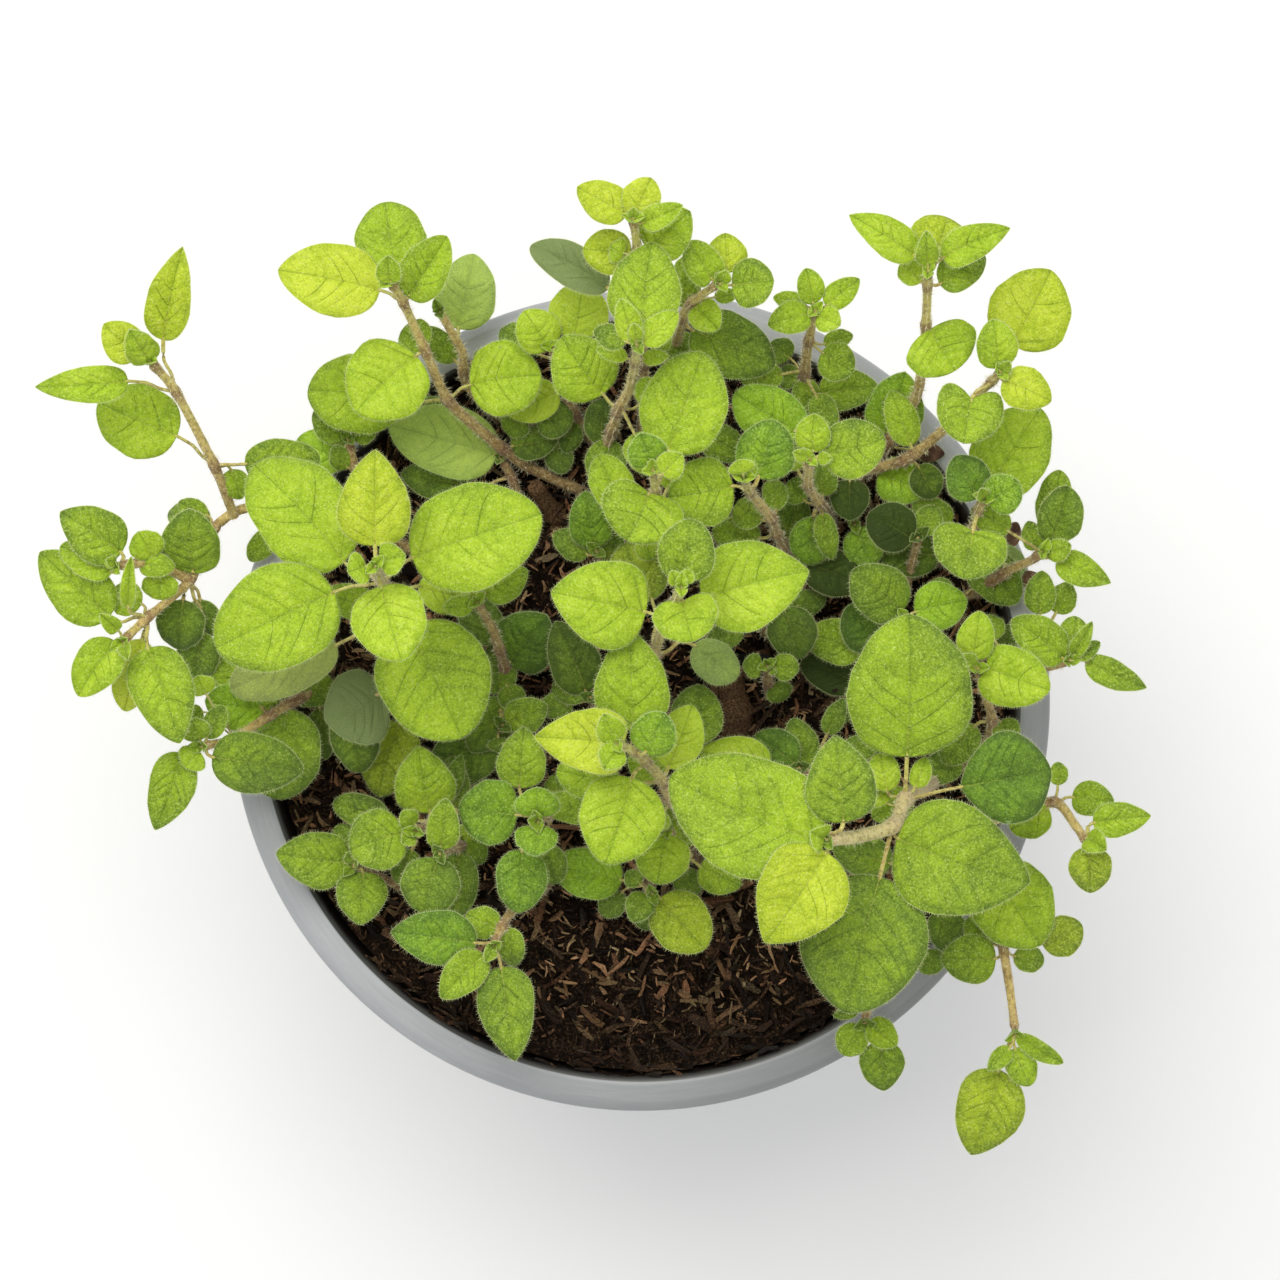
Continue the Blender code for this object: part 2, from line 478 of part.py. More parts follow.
def collapse_slivers(item):
    """Collapse the smallest triangles that the union left, which changes the form very little."""
    bpy.context.view_layer.objects.active = item
    item.modifiers.new("split", "TRIANGULATE")
    item.modifiers.new("thin_out", "DECIMATE").ratio = SLIVER_SHARE
    for name in ("split", "thin_out"):
        bpy.ops.object.modifier_apply(modifier=name)


class Axis:
    """A stem's line: its points in millimetres and a radius at each."""

    def __init__(self, points, first_radius):
        self.points = points
        last = len(points) - 1
        self.radii = [first_radius + (STEM_TIP_R - first_radius) * k / last for k in range(last + 1)]

    def nearest(self, column, row):
        """The place on the line whose picture place is nearest, as (distance, point)."""
        places = [start.lerp(end, k / NEAREST_STEPS)
                  for start, end in zip(self.points, self.points[1:]) for k in range(NEAREST_STEPS + 1)]
        gaps = [(place - picture_place(column, row, place.z - POT_HEIGHT)).length for place in places]
        return min(gaps), places[gaps.index(min(gaps))]

    def solid(self):
        """Corner points and faces of a square tube along the line."""
        verts, faces = [], []
        last = len(self.points) - 1
        for k, (point, radius) in enumerate(zip(self.points, self.radii)):
            along = (self.points[min(last, k + 1)] - self.points[max(0, k - 1)]).normalized()
            side, up = cross_directions(along)
            if k == last:
                point = point + along * TIP_BEYOND
            for corner in range(STEM_SIDES):
                angle = 2.0 * math.pi * (corner + 0.5) / STEM_SIDES
                verts.append(point + (side * math.cos(angle) + up * math.sin(angle)) * radius)
        for low in range(0, STEM_SIDES * last, STEM_SIDES):
            high = low + STEM_SIDES
            for corner in range(STEM_SIDES):
                after = (corner + 1) % STEM_SIDES
                faces.append((low + corner, low + after, high + after, high + corner))
        faces.append(tuple(reversed(range(STEM_SIDES))))
        faces.append(tuple(range(STEM_SIDES * last, STEM_SIDES * (last + 1))))
        return verts, faces


def cross_directions(along):
    """Two directions across a stem's line."""
    side = along.cross(Vector(SIDE_GUIDE)).normalized()
    return side, side.cross(along).normalized()


def flat_side(along, otherwise):
    """The level direction across `along`, or another one where `along` is upright."""
    side = along.cross(Vector((0.0, 0.0, 1.0)))
    return side.normalized() if side.length > 0.05 else otherwise


def stretched(place):
    """A stem's place, with its height above the rim stretched."""
    return picture_place(place[0], place[1], place[2] * HEIGHT_STRETCH)


def nearest_place(lines, column, row):
    """The place on any of the lines that is nearest to a picture place."""
    return min((line.nearest(column, row) for line in lines), key=lambda found: found[0])[1]


def shoot_axes(rows):
    """The lines of one shoot. The first one stands in the soil, the others start on it."""
    column, row = rows[0][0]
    ground = picture_place(column, row, SOIL_TOP)
    ground.z = soil_height(ground.x, ground.y)
    foot = ground - Vector((0.0, 0.0, HOLE_DEPTH - FOOT_ABOVE_HOLE))
    collar = ground + Vector((0.0, 0.0, COLLAR_ABOVE_SOIL))
    lines = [Axis([foot, collar] + [stretched(place) for place in rows[0][1:]], STEM_R)]
    for side_row in rows[1:]:
        points = [stretched(place) for place in side_row]
        points[0] = nearest_place(lines, *side_row[0][:2])
        lines.append(Axis(points, SIDE_STEM_R))
    return lines


class Leaf:
    """One leaf as a thin solid: a petiole from the stem and a folded, arched blade."""

    def __init__(self, node, lines, whorl, row):
        self.node = node
        self.base_place = row[0:2]
        self.tip_place = row[2:4]
        self.width = row[4]
        self.lift = row[5]
        self.fold = row[6] if len(row) > 6 else USUAL_FOLD
        turn = 0.37 * (row[0] + 2.0 * row[1] + 3.0 * row[2] + 5.0 * row[3])
        spread = Vector((math.sin(turn), math.cos(1.7 * turn), math.sin(2.3 * turn))) * START_SPREAD
        self.start = nearest_place(lines, *whorl) + spread
        self.start_height = self.start.z - POT_HEIGHT

    def reach(self, place):
        """Distance in pixels from the start of the stalk to a picture place."""
        scale = pixel_size(self.start_height)
        column = PICTURE_MIDDLE + self.start.x / scale
        row = PICTURE_MIDDLE - (self.start.y - MIDDLE_Y) / scale
        return math.hypot(place[0] - column, place[1] - row)

    def frame(self, extra_lift, swing):
        """Base point, tip point, side and up directions of the blade, after a lift and a swing."""
        lift = self.lift + extra_lift
        base_share = min(0.9, self.reach(self.base_place) / max(self.reach(self.tip_place), 1.0))
        turn = Matrix.Rotation(math.radians(swing), 3, "Z")
        base = picture_place(*self.base_place, self.start_height + lift * base_share)
        tip = picture_place(*self.tip_place, self.start_height + lift)
        base = self.start + turn @ (base - self.start)
        tip = self.start + turn @ (tip - self.start)
        stalk = min((base - self.start).length, LONGEST_SHARE * (tip - self.start).length)
        straight = self.start + (tip - self.start).normalized() * max(SHORTEST_PETIOLE, stalk)
        for share in (0.0, 0.25, 0.5, 0.75, 1.0):
            bent = base.lerp(straight, share)
            stalk_line = bent - self.start
            if stalk_line.length > 0.8 * SHORTEST_PETIOLE and stalk_line.angle(tip - bent) < MOST_BEND:
                break
        along = (tip - bent).normalized()
        side = flat_side(along, Vector((1.0, 0.0, 0.0)))
        return bent, tip, side, side.cross(along).normalized()

    def outline(self):
        """The half outline that suits the leaf's width."""
        if self.width >= LARGE_LEAF:
            return LARGE_OUTLINE
        return MEDIUM_OUTLINE if self.width > TINY_LEAF else TINY_OUTLINE

    def solid(self, extra_lift, swing, grow):
        """Points and faces of the leaf; `grow` thickens and widens it for the clearing test."""
        base, tip, side, up = self.frame(extra_lift, swing)
        verts = self.stalk_points(base, side, grow)
        faces = [(0, 1, 2), (0, 3, 4, 1), (1, 4, 5, 2), (2, 5, 3, 0)]
        along = tip - base
        length = along.length
        along.normalize()
        half = 0.5 * self.width * pixel_size(base.z - POT_HEIGHT)
        thick = up * (0.5 * BLADE + grow)
        rows = []
        for share, wide in self.outline():
            middle = base + along * (share * length) + up * (BLADE_ARCH * length * share * (1 - share))
            reach = side * (half * wide + grow)
            rise = up * (self.fold * half * wide)
            rows.append([(len(verts) + k, len(verts) + k + 1) for k in (0, 2, 4)])
            for place in (middle - reach + rise, middle, middle + reach + rise):
                verts += [place + thick, place - thick]
        end = (len(verts), len(verts) + 1)
        verts += [tip + along * grow + thick, tip + along * grow - thick]
        left, middle, right = rows[0]
        faces += [(3, left[0], middle[0]), (3, middle[0], 4), (4, middle[0], right[0]),
                  (5, middle[1], left[1]), (5, right[1], middle[1]), (3, 5, left[1]),
                  (3, left[1], left[0]), (4, right[0], right[1]), (4, right[1], 5)]
        for low, high in zip(rows, rows[1:]):
            for face in (0, 1):
                faces += [(low[0][face], high[0][face], low[1][face]),
                          (high[0][face], high[1][face], low[1][face]),
                          (low[1][face], high[1][face], high[2][face]),
                          (low[1][face], high[2][face], low[2][face])]
            for edge in (0, 2):
                faces += [(low[edge][0], low[edge][1], high[edge][1]),
                          (low[edge][0], high[edge][1], high[edge][0])]
        left, middle, right = rows[-1]
        for face in (0, 1):
            faces += [(left[face], end[face], middle[face]), (middle[face], end[face], right[face])]
        for edge in (left, right):
            faces += [(edge[0], edge[1], end[1]), (edge[0], end[1], end[0])]
        return verts, faces

    def stalk_points(self, base, blade_side, grow):
        """Six corners of the stalk, a three-sided prism that widens from the stem to the blade."""
        along = (base - self.start).normalized()
        side = flat_side(along, blade_side)
        ends = ((self.start + along * PETIOLE_START, side, PETIOLE_NARROW),
                (base, (side + blade_side * 1.5).normalized(), 1.0))
        points = []
        for place, across, size in ends:
            top = across.cross(along).normalized()
            reach = across * (PETIOLE_HALF * size + grow)
            high = top * (0.5 * BLADE * size + grow)
            low = top * ((PETIOLE_DEEP - 0.5 * BLADE) * size + grow)
            points += [place - reach + high, place + reach + high, place - low]
        return points


class Obstacles:
    """What is already placed, kept as trees with their boxes."""

    def __init__(self):
        self.placed = []

    def add(self, owner, verts, faces):
        """Keep one solid under its owner's name."""
        self.placed.append((owner, *corners_of_box(verts), BVHTree.FromPolygons(verts, faces)))

    def meets(self, verts, faces, skip=""):
        """Whether the given solid crosses a kept one whose owner isn't `skip`."""
        low, high = corners_of_box(verts)
        tree = BVHTree.FromPolygons(verts, faces)
        return any(tree.overlap(other) for owner, other_low, other_high, other in self.placed
                   if owner != skip and all(low[k] <= other_high[k] and high[k] >= other_low[k]
                                            for k in range(3)))


def corners_of_box(verts):
    """Lowest and highest corner of the box round some points."""
    return [min(v[k] for v in verts) for k in range(3)], [max(v[k] for v in verts) for k in range(3)]


def make_pot():
    """The pot, turned from the middle of its base up the outside and down the inside."""
    skirt_low = POT_HEIGHT - SKIRT_DEPTH
    edge = [(RIM_OUTER_R - inward, POT_HEIGHT - down) for inward, down in RIM_EDGE]
    profile = [(0.0, 0.0), (BASE_R, 0.0), (WALL_TOP_R, skirt_low), (SKIRT_LOW_R, skirt_low), *edge,
               (RIM_INNER_R, POT_HEIGHT), (RIM_INNER_R - THROAT_IN, POT_HEIGHT - THROAT_DEPTH),
               (BASE_R - WALL, FLOOR), (0.0, FLOOR)]
    pot = turned("pot", profile, POT_SIDES)
    pot.data.materials.append(make_material("pot_plastic", *POT_LOOK))
    pot.data.shade_smooth()
    pot.data.set_sharp_from_angle(angle=math.radians(35))
    return pot


def make_soil():
    """The soil, a plug that follows the pot's inside and rises to its lumpy top."""
    low = FLOOR + SOIL_GAP
    edge_z = POT_HEIGHT + SOIL_TOP - SOIL_SHOULDER
    low_r = (inner_radius(low) - SOIL_GAP) * FACET_CLEAR
    edge_r = (inner_radius(edge_z) - SOIL_GAP) * FACET_CLEAR
    rings = [(edge_r * share, POT_HEIGHT) for share in SOIL_RINGS]
    soil = turned("soil", [(0.0, low), (low_r, low), (edge_r, edge_z), *rings], SOIL_SIDES)
    for vertex in soil.data.vertices:
        if vertex.co.z > (edge_z + SOIL_SHOULDER) * MM:
            vertex.co.z = soil_height(vertex.co.x / MM, vertex.co.y / MM) * MM
    soil.data.materials.append(make_material("soil_peat", *SOIL_LOOK))
    return soil


def solid_of(item):
    """Points in millimetres and faces of an object, for the clearing test."""
    return [v.co / MM for v in item.data.vertices], [tuple(f.vertices) for f in item.data.polygons]


def grow_leaves(axes, ground):
    """Solids of every leaf by node, from the highest down, each bent until it clears the rest."""
    still, stems, blades = Obstacles(), Obstacles(), Obstacles()
    for item in ground:
        still.add(item.name, *solid_of(item))
    for node, lines in axes.items():
        for line in lines:
            if stems.meets(*line.solid(), node):
                print("stem", node, "crosses another")
            stems.add(node, *line.solid())
    leaves = [Leaf(node, axes[node], whorl, row)
              for node, (_, whorls) in SHOOTS.items() for whorl, rows in whorls.items() for row in rows]
    leaves.sort(key=lambda leaf: leaf.start.z + 0.5 * leaf.lift, reverse=True)
    choices = [(lift, swing) for lift in TIP_LIFTS for swing in TIP_SWINGS]
    choices.sort(key=lambda choice: abs(choice[0]) + SWING_COST * abs(choice[1]))
    kept = {node: [] for node in SHOOTS}
    moved = 0
    for leaf in leaves:
        own = [piece[-1] for piece in blades.placed if piece[0] == leaf.node]
        for lift, swing in choices:
            room = leaf.solid(lift, swing, LEAF_GAP)
            if still.meets(*room) or stems.meets(*room, leaf.node) or blades.meets(*room, leaf.node):
                continue
            verts, faces = leaf.solid(lift, swing, 0.0)
            blade = BVHTree.FromPolygons(verts, [face for face in faces if min(face) >= STALK_POINTS])
            if any(blade.overlap(other) for other in own):
                continue
            kept[leaf.node].append((verts, faces))
            blades.add(leaf.node, verts, faces)
            moved += (lift, swing) != (0, 0)
            break
        else:
            print("no room for", leaf.node, leaf.base_place, leaf.tip_place)
    print("leaves", len(leaves), "bent clear", moved)
    return kept


def cut_root_holes(soil, axes):
    """A plain square hole in the soil for each root, a little wider than the root."""
    reach = STEM_R + HOLE_GAP * math.sqrt(2.0)
    cutters = []
    for lines in axes.values():
        foot, collar = lines[0].points[:2]
        side, across = cross_directions((collar - foot).normalized())
        verts = []
        for place in (foot - Vector((0, 0, FOOT_ABOVE_HOLE)), collar + Vector((0, 0, HOLE_ABOVE_COLLAR))):
            for corner in range(STEM_SIDES):
                angle = 2.0 * math.pi * (corner + 0.5) / STEM_SIDES
                verts.append(place + (side * math.cos(angle) + across * math.sin(angle)) * reach)
        sides = [(0, 1, 5, 4), (1, 2, 6, 5), (2, 3, 7, 6), (3, 0, 4, 7)]
        cutters.append(make_object("hole", verts, [(3, 2, 1, 0), (4, 5, 6, 7), *sides]))
    join_all(soil, cutters, "DIFFERENCE")


def fuse_shoot(node, lines, leaf_solids):
    """One leafy stem as one solid: its lines and leaves joined, with a green for its height."""
    stem = make_object(node, *lines[0].solid())
    parts = [make_object("axis", *line.solid()) for line in lines[1:]]
    parts += [make_object("leaf", *solid) for solid in leaf_solids]
    join_all(stem, parts, "UNION")
    collapse_slivers(stem)
    top = max(vertex.co.z for vertex in stem.data.vertices) / MM - POT_HEIGHT
    colour = next(colour for height, colour in LEAF_COLOURS if top > height)
    stem.data.materials.append(make_material(node + "_green", colour, LEAF_ROUGHNESS))


for old in list(bpy.data.objects):
    bpy.data.objects.remove(old, do_unlink=True)

pot = make_pot()
soil = make_soil()
axes = {node: shoot_axes(rows) for node, (rows, _) in SHOOTS.items()}
leaf_solids = grow_leaves(axes, (pot, soil))
cut_root_holes(soil, axes)
for node, lines in axes.items():
    fuse_shoot(node, lines, leaf_solids[node])
print("triangles", sum(len(face.vertices) - 2 for item in bpy.data.objects for face in item.data.polygons))
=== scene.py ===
# %% [markdown]
# # A potted oregano
#
# The real object is a grey plastic pot, the peat in it, and the leafy stems of a young herb.
# The solids of all of it are packed already. This lesson loads them as a fixed frame and
# dresses them: every leafy stem gets fine leaves with veins and hairs, the soil gets its bark
# chips, and the pot gets its rounded edges. The frame gives the places, so nothing is fitted.

# %% Load the frame
import math

import bpy
import numpy as np
from mathutils import Matrix, Vector, noise
from mathutils.kdtree import KDTree


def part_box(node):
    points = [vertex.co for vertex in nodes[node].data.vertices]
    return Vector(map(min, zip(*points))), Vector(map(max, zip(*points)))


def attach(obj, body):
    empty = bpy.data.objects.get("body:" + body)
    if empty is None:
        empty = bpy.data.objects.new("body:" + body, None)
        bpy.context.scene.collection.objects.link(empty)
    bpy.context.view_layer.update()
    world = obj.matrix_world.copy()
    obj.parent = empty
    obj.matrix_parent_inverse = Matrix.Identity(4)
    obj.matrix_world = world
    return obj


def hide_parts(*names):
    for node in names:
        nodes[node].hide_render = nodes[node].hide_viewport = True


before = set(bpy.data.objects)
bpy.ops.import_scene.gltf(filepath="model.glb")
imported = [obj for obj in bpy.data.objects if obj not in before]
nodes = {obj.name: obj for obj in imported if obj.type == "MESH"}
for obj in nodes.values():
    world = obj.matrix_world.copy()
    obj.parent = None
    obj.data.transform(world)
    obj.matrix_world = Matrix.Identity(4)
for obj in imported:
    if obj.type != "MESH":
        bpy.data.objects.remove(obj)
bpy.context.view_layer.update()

# %% [markdown]
# ## Where a picture place lies
#
# The plant was laid out on a picture taken from straight above, so a place is a column,
# a row and a height above the rim. One rule turns it into millimetres. A thing that stands
# nearer the camera looks larger, which is why the size of a pixel shrinks with height.

# %% Picture places in millimetres
MM = 0.001
PIXEL_MM = 0.2
PICTURE_MIDDLE = 640.0
MIDDLE_Y = 12.2
CAMERA_ABOVE_RIM = 900.0
POT_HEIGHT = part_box("pot")[1][2] / MM


def pixel_size(height):
    """Millimetres that one pixel covers at a height above the rim."""
    return PIXEL_MM * (CAMERA_ABOVE_RIM - height) / CAMERA_ABOVE_RIM


def picture_place(column, row, height):
    """Millimetres in the world for a picture place that lies `height` above the rim."""
    scale = pixel_size(height)
    return Vector(((column - PICTURE_MIDDLE) * scale, MIDDLE_Y + (PICTURE_MIDDLE - row) * scale,
                   POT_HEIGHT + height))


print("rim height", round(POT_HEIGHT, 2), "mm")

# %% [markdown]
# ## The camera, the floor and the light
#
# The camera looks straight down, as the photograph does, from 900 mm above the rim. Its field
# takes in 256 mm at the rim. The light is that of a small studio: one broad soft lamp above
# and behind the plant, a weaker one from the front, and a pale room all round.

# %% Camera
FIELD_MM = 256.0
view = bpy.data.cameras.new("camera")
view.sensor_width = 36.0
view.lens = view.sensor_width * CAMERA_ABOVE_RIM / FIELD_MM
view.clip_start, view.clip_end = 0.05, 20.0
camera = bpy.data.objects.new("camera", view)
camera.location = (0.0, MIDDLE_Y * MM, (POT_HEIGHT + CAMERA_ABOVE_RIM) * MM)
bpy.context.scene.collection.objects.link(camera)
bpy.context.scene.camera = camera
print("camera lens", round(view.lens, 1), "mm")

# %% Light
TOP_OF_POT = Vector((0.0, 0.0, 0.13))
bpy.context.scene.view_settings.view_transform = "Standard"


def soft_lamp(name, place, size, watts, colour):
    """A square lamp that faces the top of the pot."""
    data = bpy.data.lights.new(name, "AREA")
    data.size, data.energy, data.color = size, watts, colour
    lamp = bpy.data.objects.new(name, data)
    lamp.location = place
    lamp.rotation_euler = (TOP_OF_POT - Vector(place)).to_track_quat("-Z", "Y").to_euler()
    bpy.context.scene.collection.objects.link(lamp)


soft_lamp("lamp_back", (-0.18, 0.44, 1.05), 0.75, 8.2, (1.0, 0.98, 0.94))
soft_lamp("lamp_front", (0.45, -0.45, 1.10), 0.9, 1.6, (0.95, 0.98, 1.0))
room = bpy.data.worlds.new("room")
bpy.context.scene.world = room
room.use_nodes = True
walls = room.node_tree.nodes["Background"]
walls.inputs["Color"].default_value = (1.0, 1.0, 1.0, 1.0)
walls.inputs["Strength"].default_value = 0.60
print("lamps 2")

# %% [markdown]
# ## Writing a finish as sums
#
# A procedural finish is a sum of masks and colours. Wired by hand it is a web that nobody can
# read. So one small class wraps a socket and gives it Python's operators, and each expression
# adds its own Math nodes. Every other node comes from one method of the finish.

# %% Flow
class Flow:
    """A number or colour on its way through a finish. Sums with it add Math nodes."""

    def __init__(self, finish, socket):
        self.finish, self.socket = finish, socket

    def math(self, operation, *others):
        numbers = dict(enumerate((self, *others)))
        return self.finish.node("ShaderNodeMath", {"operation": operation}, numbers)

    def __add__(self, other):
        return self.math("ADD", other)

    __radd__ = __add__

    def __mul__(self, other):
        return self.math("MULTIPLY", other)

    __rmul__ = __mul__

    def __sub__(self, other):
        return self.math("SUBTRACT", other)

    def __rsub__(self, other):
        return self * -1.0 + other

    def __truediv__(self, other):
        return self.math("DIVIDE", other)

    def step(self, low, high, bottom=0.0, top=1.0):
        """A smooth step from bottom, below low, to top, above high."""
        return self.finish.node("ShaderNodeMapRange", {"interpolation_type": "SMOOTHSTEP"},
                                {0: self, 1: low, 2: high, 3: bottom, 4: top})

    def fall(self, low, high):
        """A smooth step from 1, below low, to 0, above high."""
        return self.step(low, high, 1.0, 0.0)


print("operators + - * / and 1 - mask")

# %% Finish of a material
class Finish:
    """A material with one Principled shader, and the methods that its sums are written with."""

    def __init__(self, name, **fixed):
        self.material = bpy.data.materials.new(name)
        self.material.use_nodes = True
        self.tree = self.material.node_tree
        self.shader = self.tree.nodes["Principled BSDF"]
        for socket, value in fixed.items():
            self.shader.inputs[socket.replace("_", " ")].default_value = value

    def node(self, kind, settings=None, sockets=None, out=0):
        """Any node: its settings first, then the values or flows of its sockets."""
        made = self.tree.nodes.new(kind)
        settings = dict(settings or {})
        stops = settings.pop("stops", None)
        for name, value in settings.items():
            setattr(made, name, value)
        if stops:
            ramp = made.color_ramp
            while len(ramp.elements) < len(stops):
                ramp.elements.new(0.5)
            for element, (place, colour) in zip(ramp.elements, stops):
                element.position, element.color = place, (*colour, 1.0)
        for key, value in (sockets or {}).items():
            self.feed(made.inputs[key], value)
        return Flow(self, made.outputs[out])

    def feed(self, socket, value):
        """Link a flow to a socket, or set a value on it."""
        if isinstance(value, Flow):
            self.tree.links.new(value.socket, socket)
        elif isinstance(value, tuple) and len(value) == 3 and socket.type == "RGBA":
            socket.default_value = (*value, 1.0)
        else:
            socket.default_value = value

    def mix(self, share, low, high):
        """From one colour to another by a share."""
        return self.node("ShaderNodeMix", {"data_type": "RGBA"}, {0: share, 6: low, 7: high}, 2)

    def over(self, colour, *layers):
        """A colour under layers, each a share of another colour."""
        for share, layer in layers:
            colour = self.mix(share, colour, layer)
        return colour

    def tint(self, colour, red):
        """A colour with its red share multiplied: warmer above 1, cooler below."""
        gain = self.node("ShaderNodeCombineXYZ", {}, {0: red, 1: 1.0, 2: 1.0})
        return self.node("ShaderNodeVectorMath", {"operation": "MULTIPLY"}, {0: colour, 1: gain})

    def ramp(self, share, *stops):
        """A colour for each number, from (place, colour) stops."""
        return self.node("ShaderNodeValToRGB", {"stops": stops}, {0: share})

    def parts(self, flow):
        """The three numbers of a vector."""
        return [self.node("ShaderNodeSeparateXYZ", {}, {0: flow}, k) for k in range(3)]

    def place(self):
        """The place on the object, in metres."""
        return self.node("ShaderNodeTexCoord", {}, {}, "Object")

    def noise(self, scale, detail=2.0, at=None, rough=0.5):
        """Soft noise from 0 to 1, with `scale` lumps to the metre."""
        sockets = {"Vector": at or self.place(), "Scale": scale, "Detail": detail, "Roughness": rough}
        return self.node("ShaderNodeTexNoise", {"noise_dimensions": "3D"}, sockets)

    def dots(self, scale, low, high):
        """Soft dots about 1 / scale metres apart: 1 in the middle of each and 0 outside."""
        sockets = {"Vector": self.place(), "Scale": scale}
        return self.node("ShaderNodeTexVoronoi", {"feature": "F1"}, sockets, "Distance").fall(low, high)

    def note(self, name, out="Color"):
        """A note that the mesh keeps for each of its points."""
        return self.node("ShaderNodeAttribute", {"attribute_name": name}, {}, out)

    def relief(self, height, depth_mm, strength=1.0):
        """Dents and bumps of a real depth."""
        sockets = {"Height": height, "Strength": strength, "Distance": depth_mm * MM}
        self.feed(self.shader.inputs["Normal"], self.node("ShaderNodeBump", {}, sockets))

    def surface(self, colour, roughness):
        """What changes over the surface: its colour and its roughness."""
        self.feed(self.shader.inputs["Base Color"], colour)
        self.feed(self.shader.inputs["Roughness"], roughness)


print("methods", [name for name in vars(Finish) if not name.startswith("_")])

# %% Floor
REACH = 3.0
floor_mesh = bpy.data.meshes.new("floor")
floor_corners = [(x * REACH, y * REACH, 0) for x, y in ((-1, -1), (1, -1), (1, 1), (-1, 1))]
floor_mesh.from_pydata(floor_corners, [], [(0, 1, 2, 3)])
floor = bpy.data.objects.new("floor", floor_mesh)
bpy.context.scene.collection.objects.link(floor)
paper = Finish("pale_floor", Roughness=0.9)
pale = paper.ramp(paper.noise(3.0, 3.0), (0.3, (0.955, 0.955, 0.95)), (0.7, (0.975, 0.975, 0.97)))
paper.surface(pale, paper.noise(40.0, 2.0) * 0.1 + 0.8)
floor_mesh.materials.append(paper.material)
print("floor", 2 * REACH, "m wide")
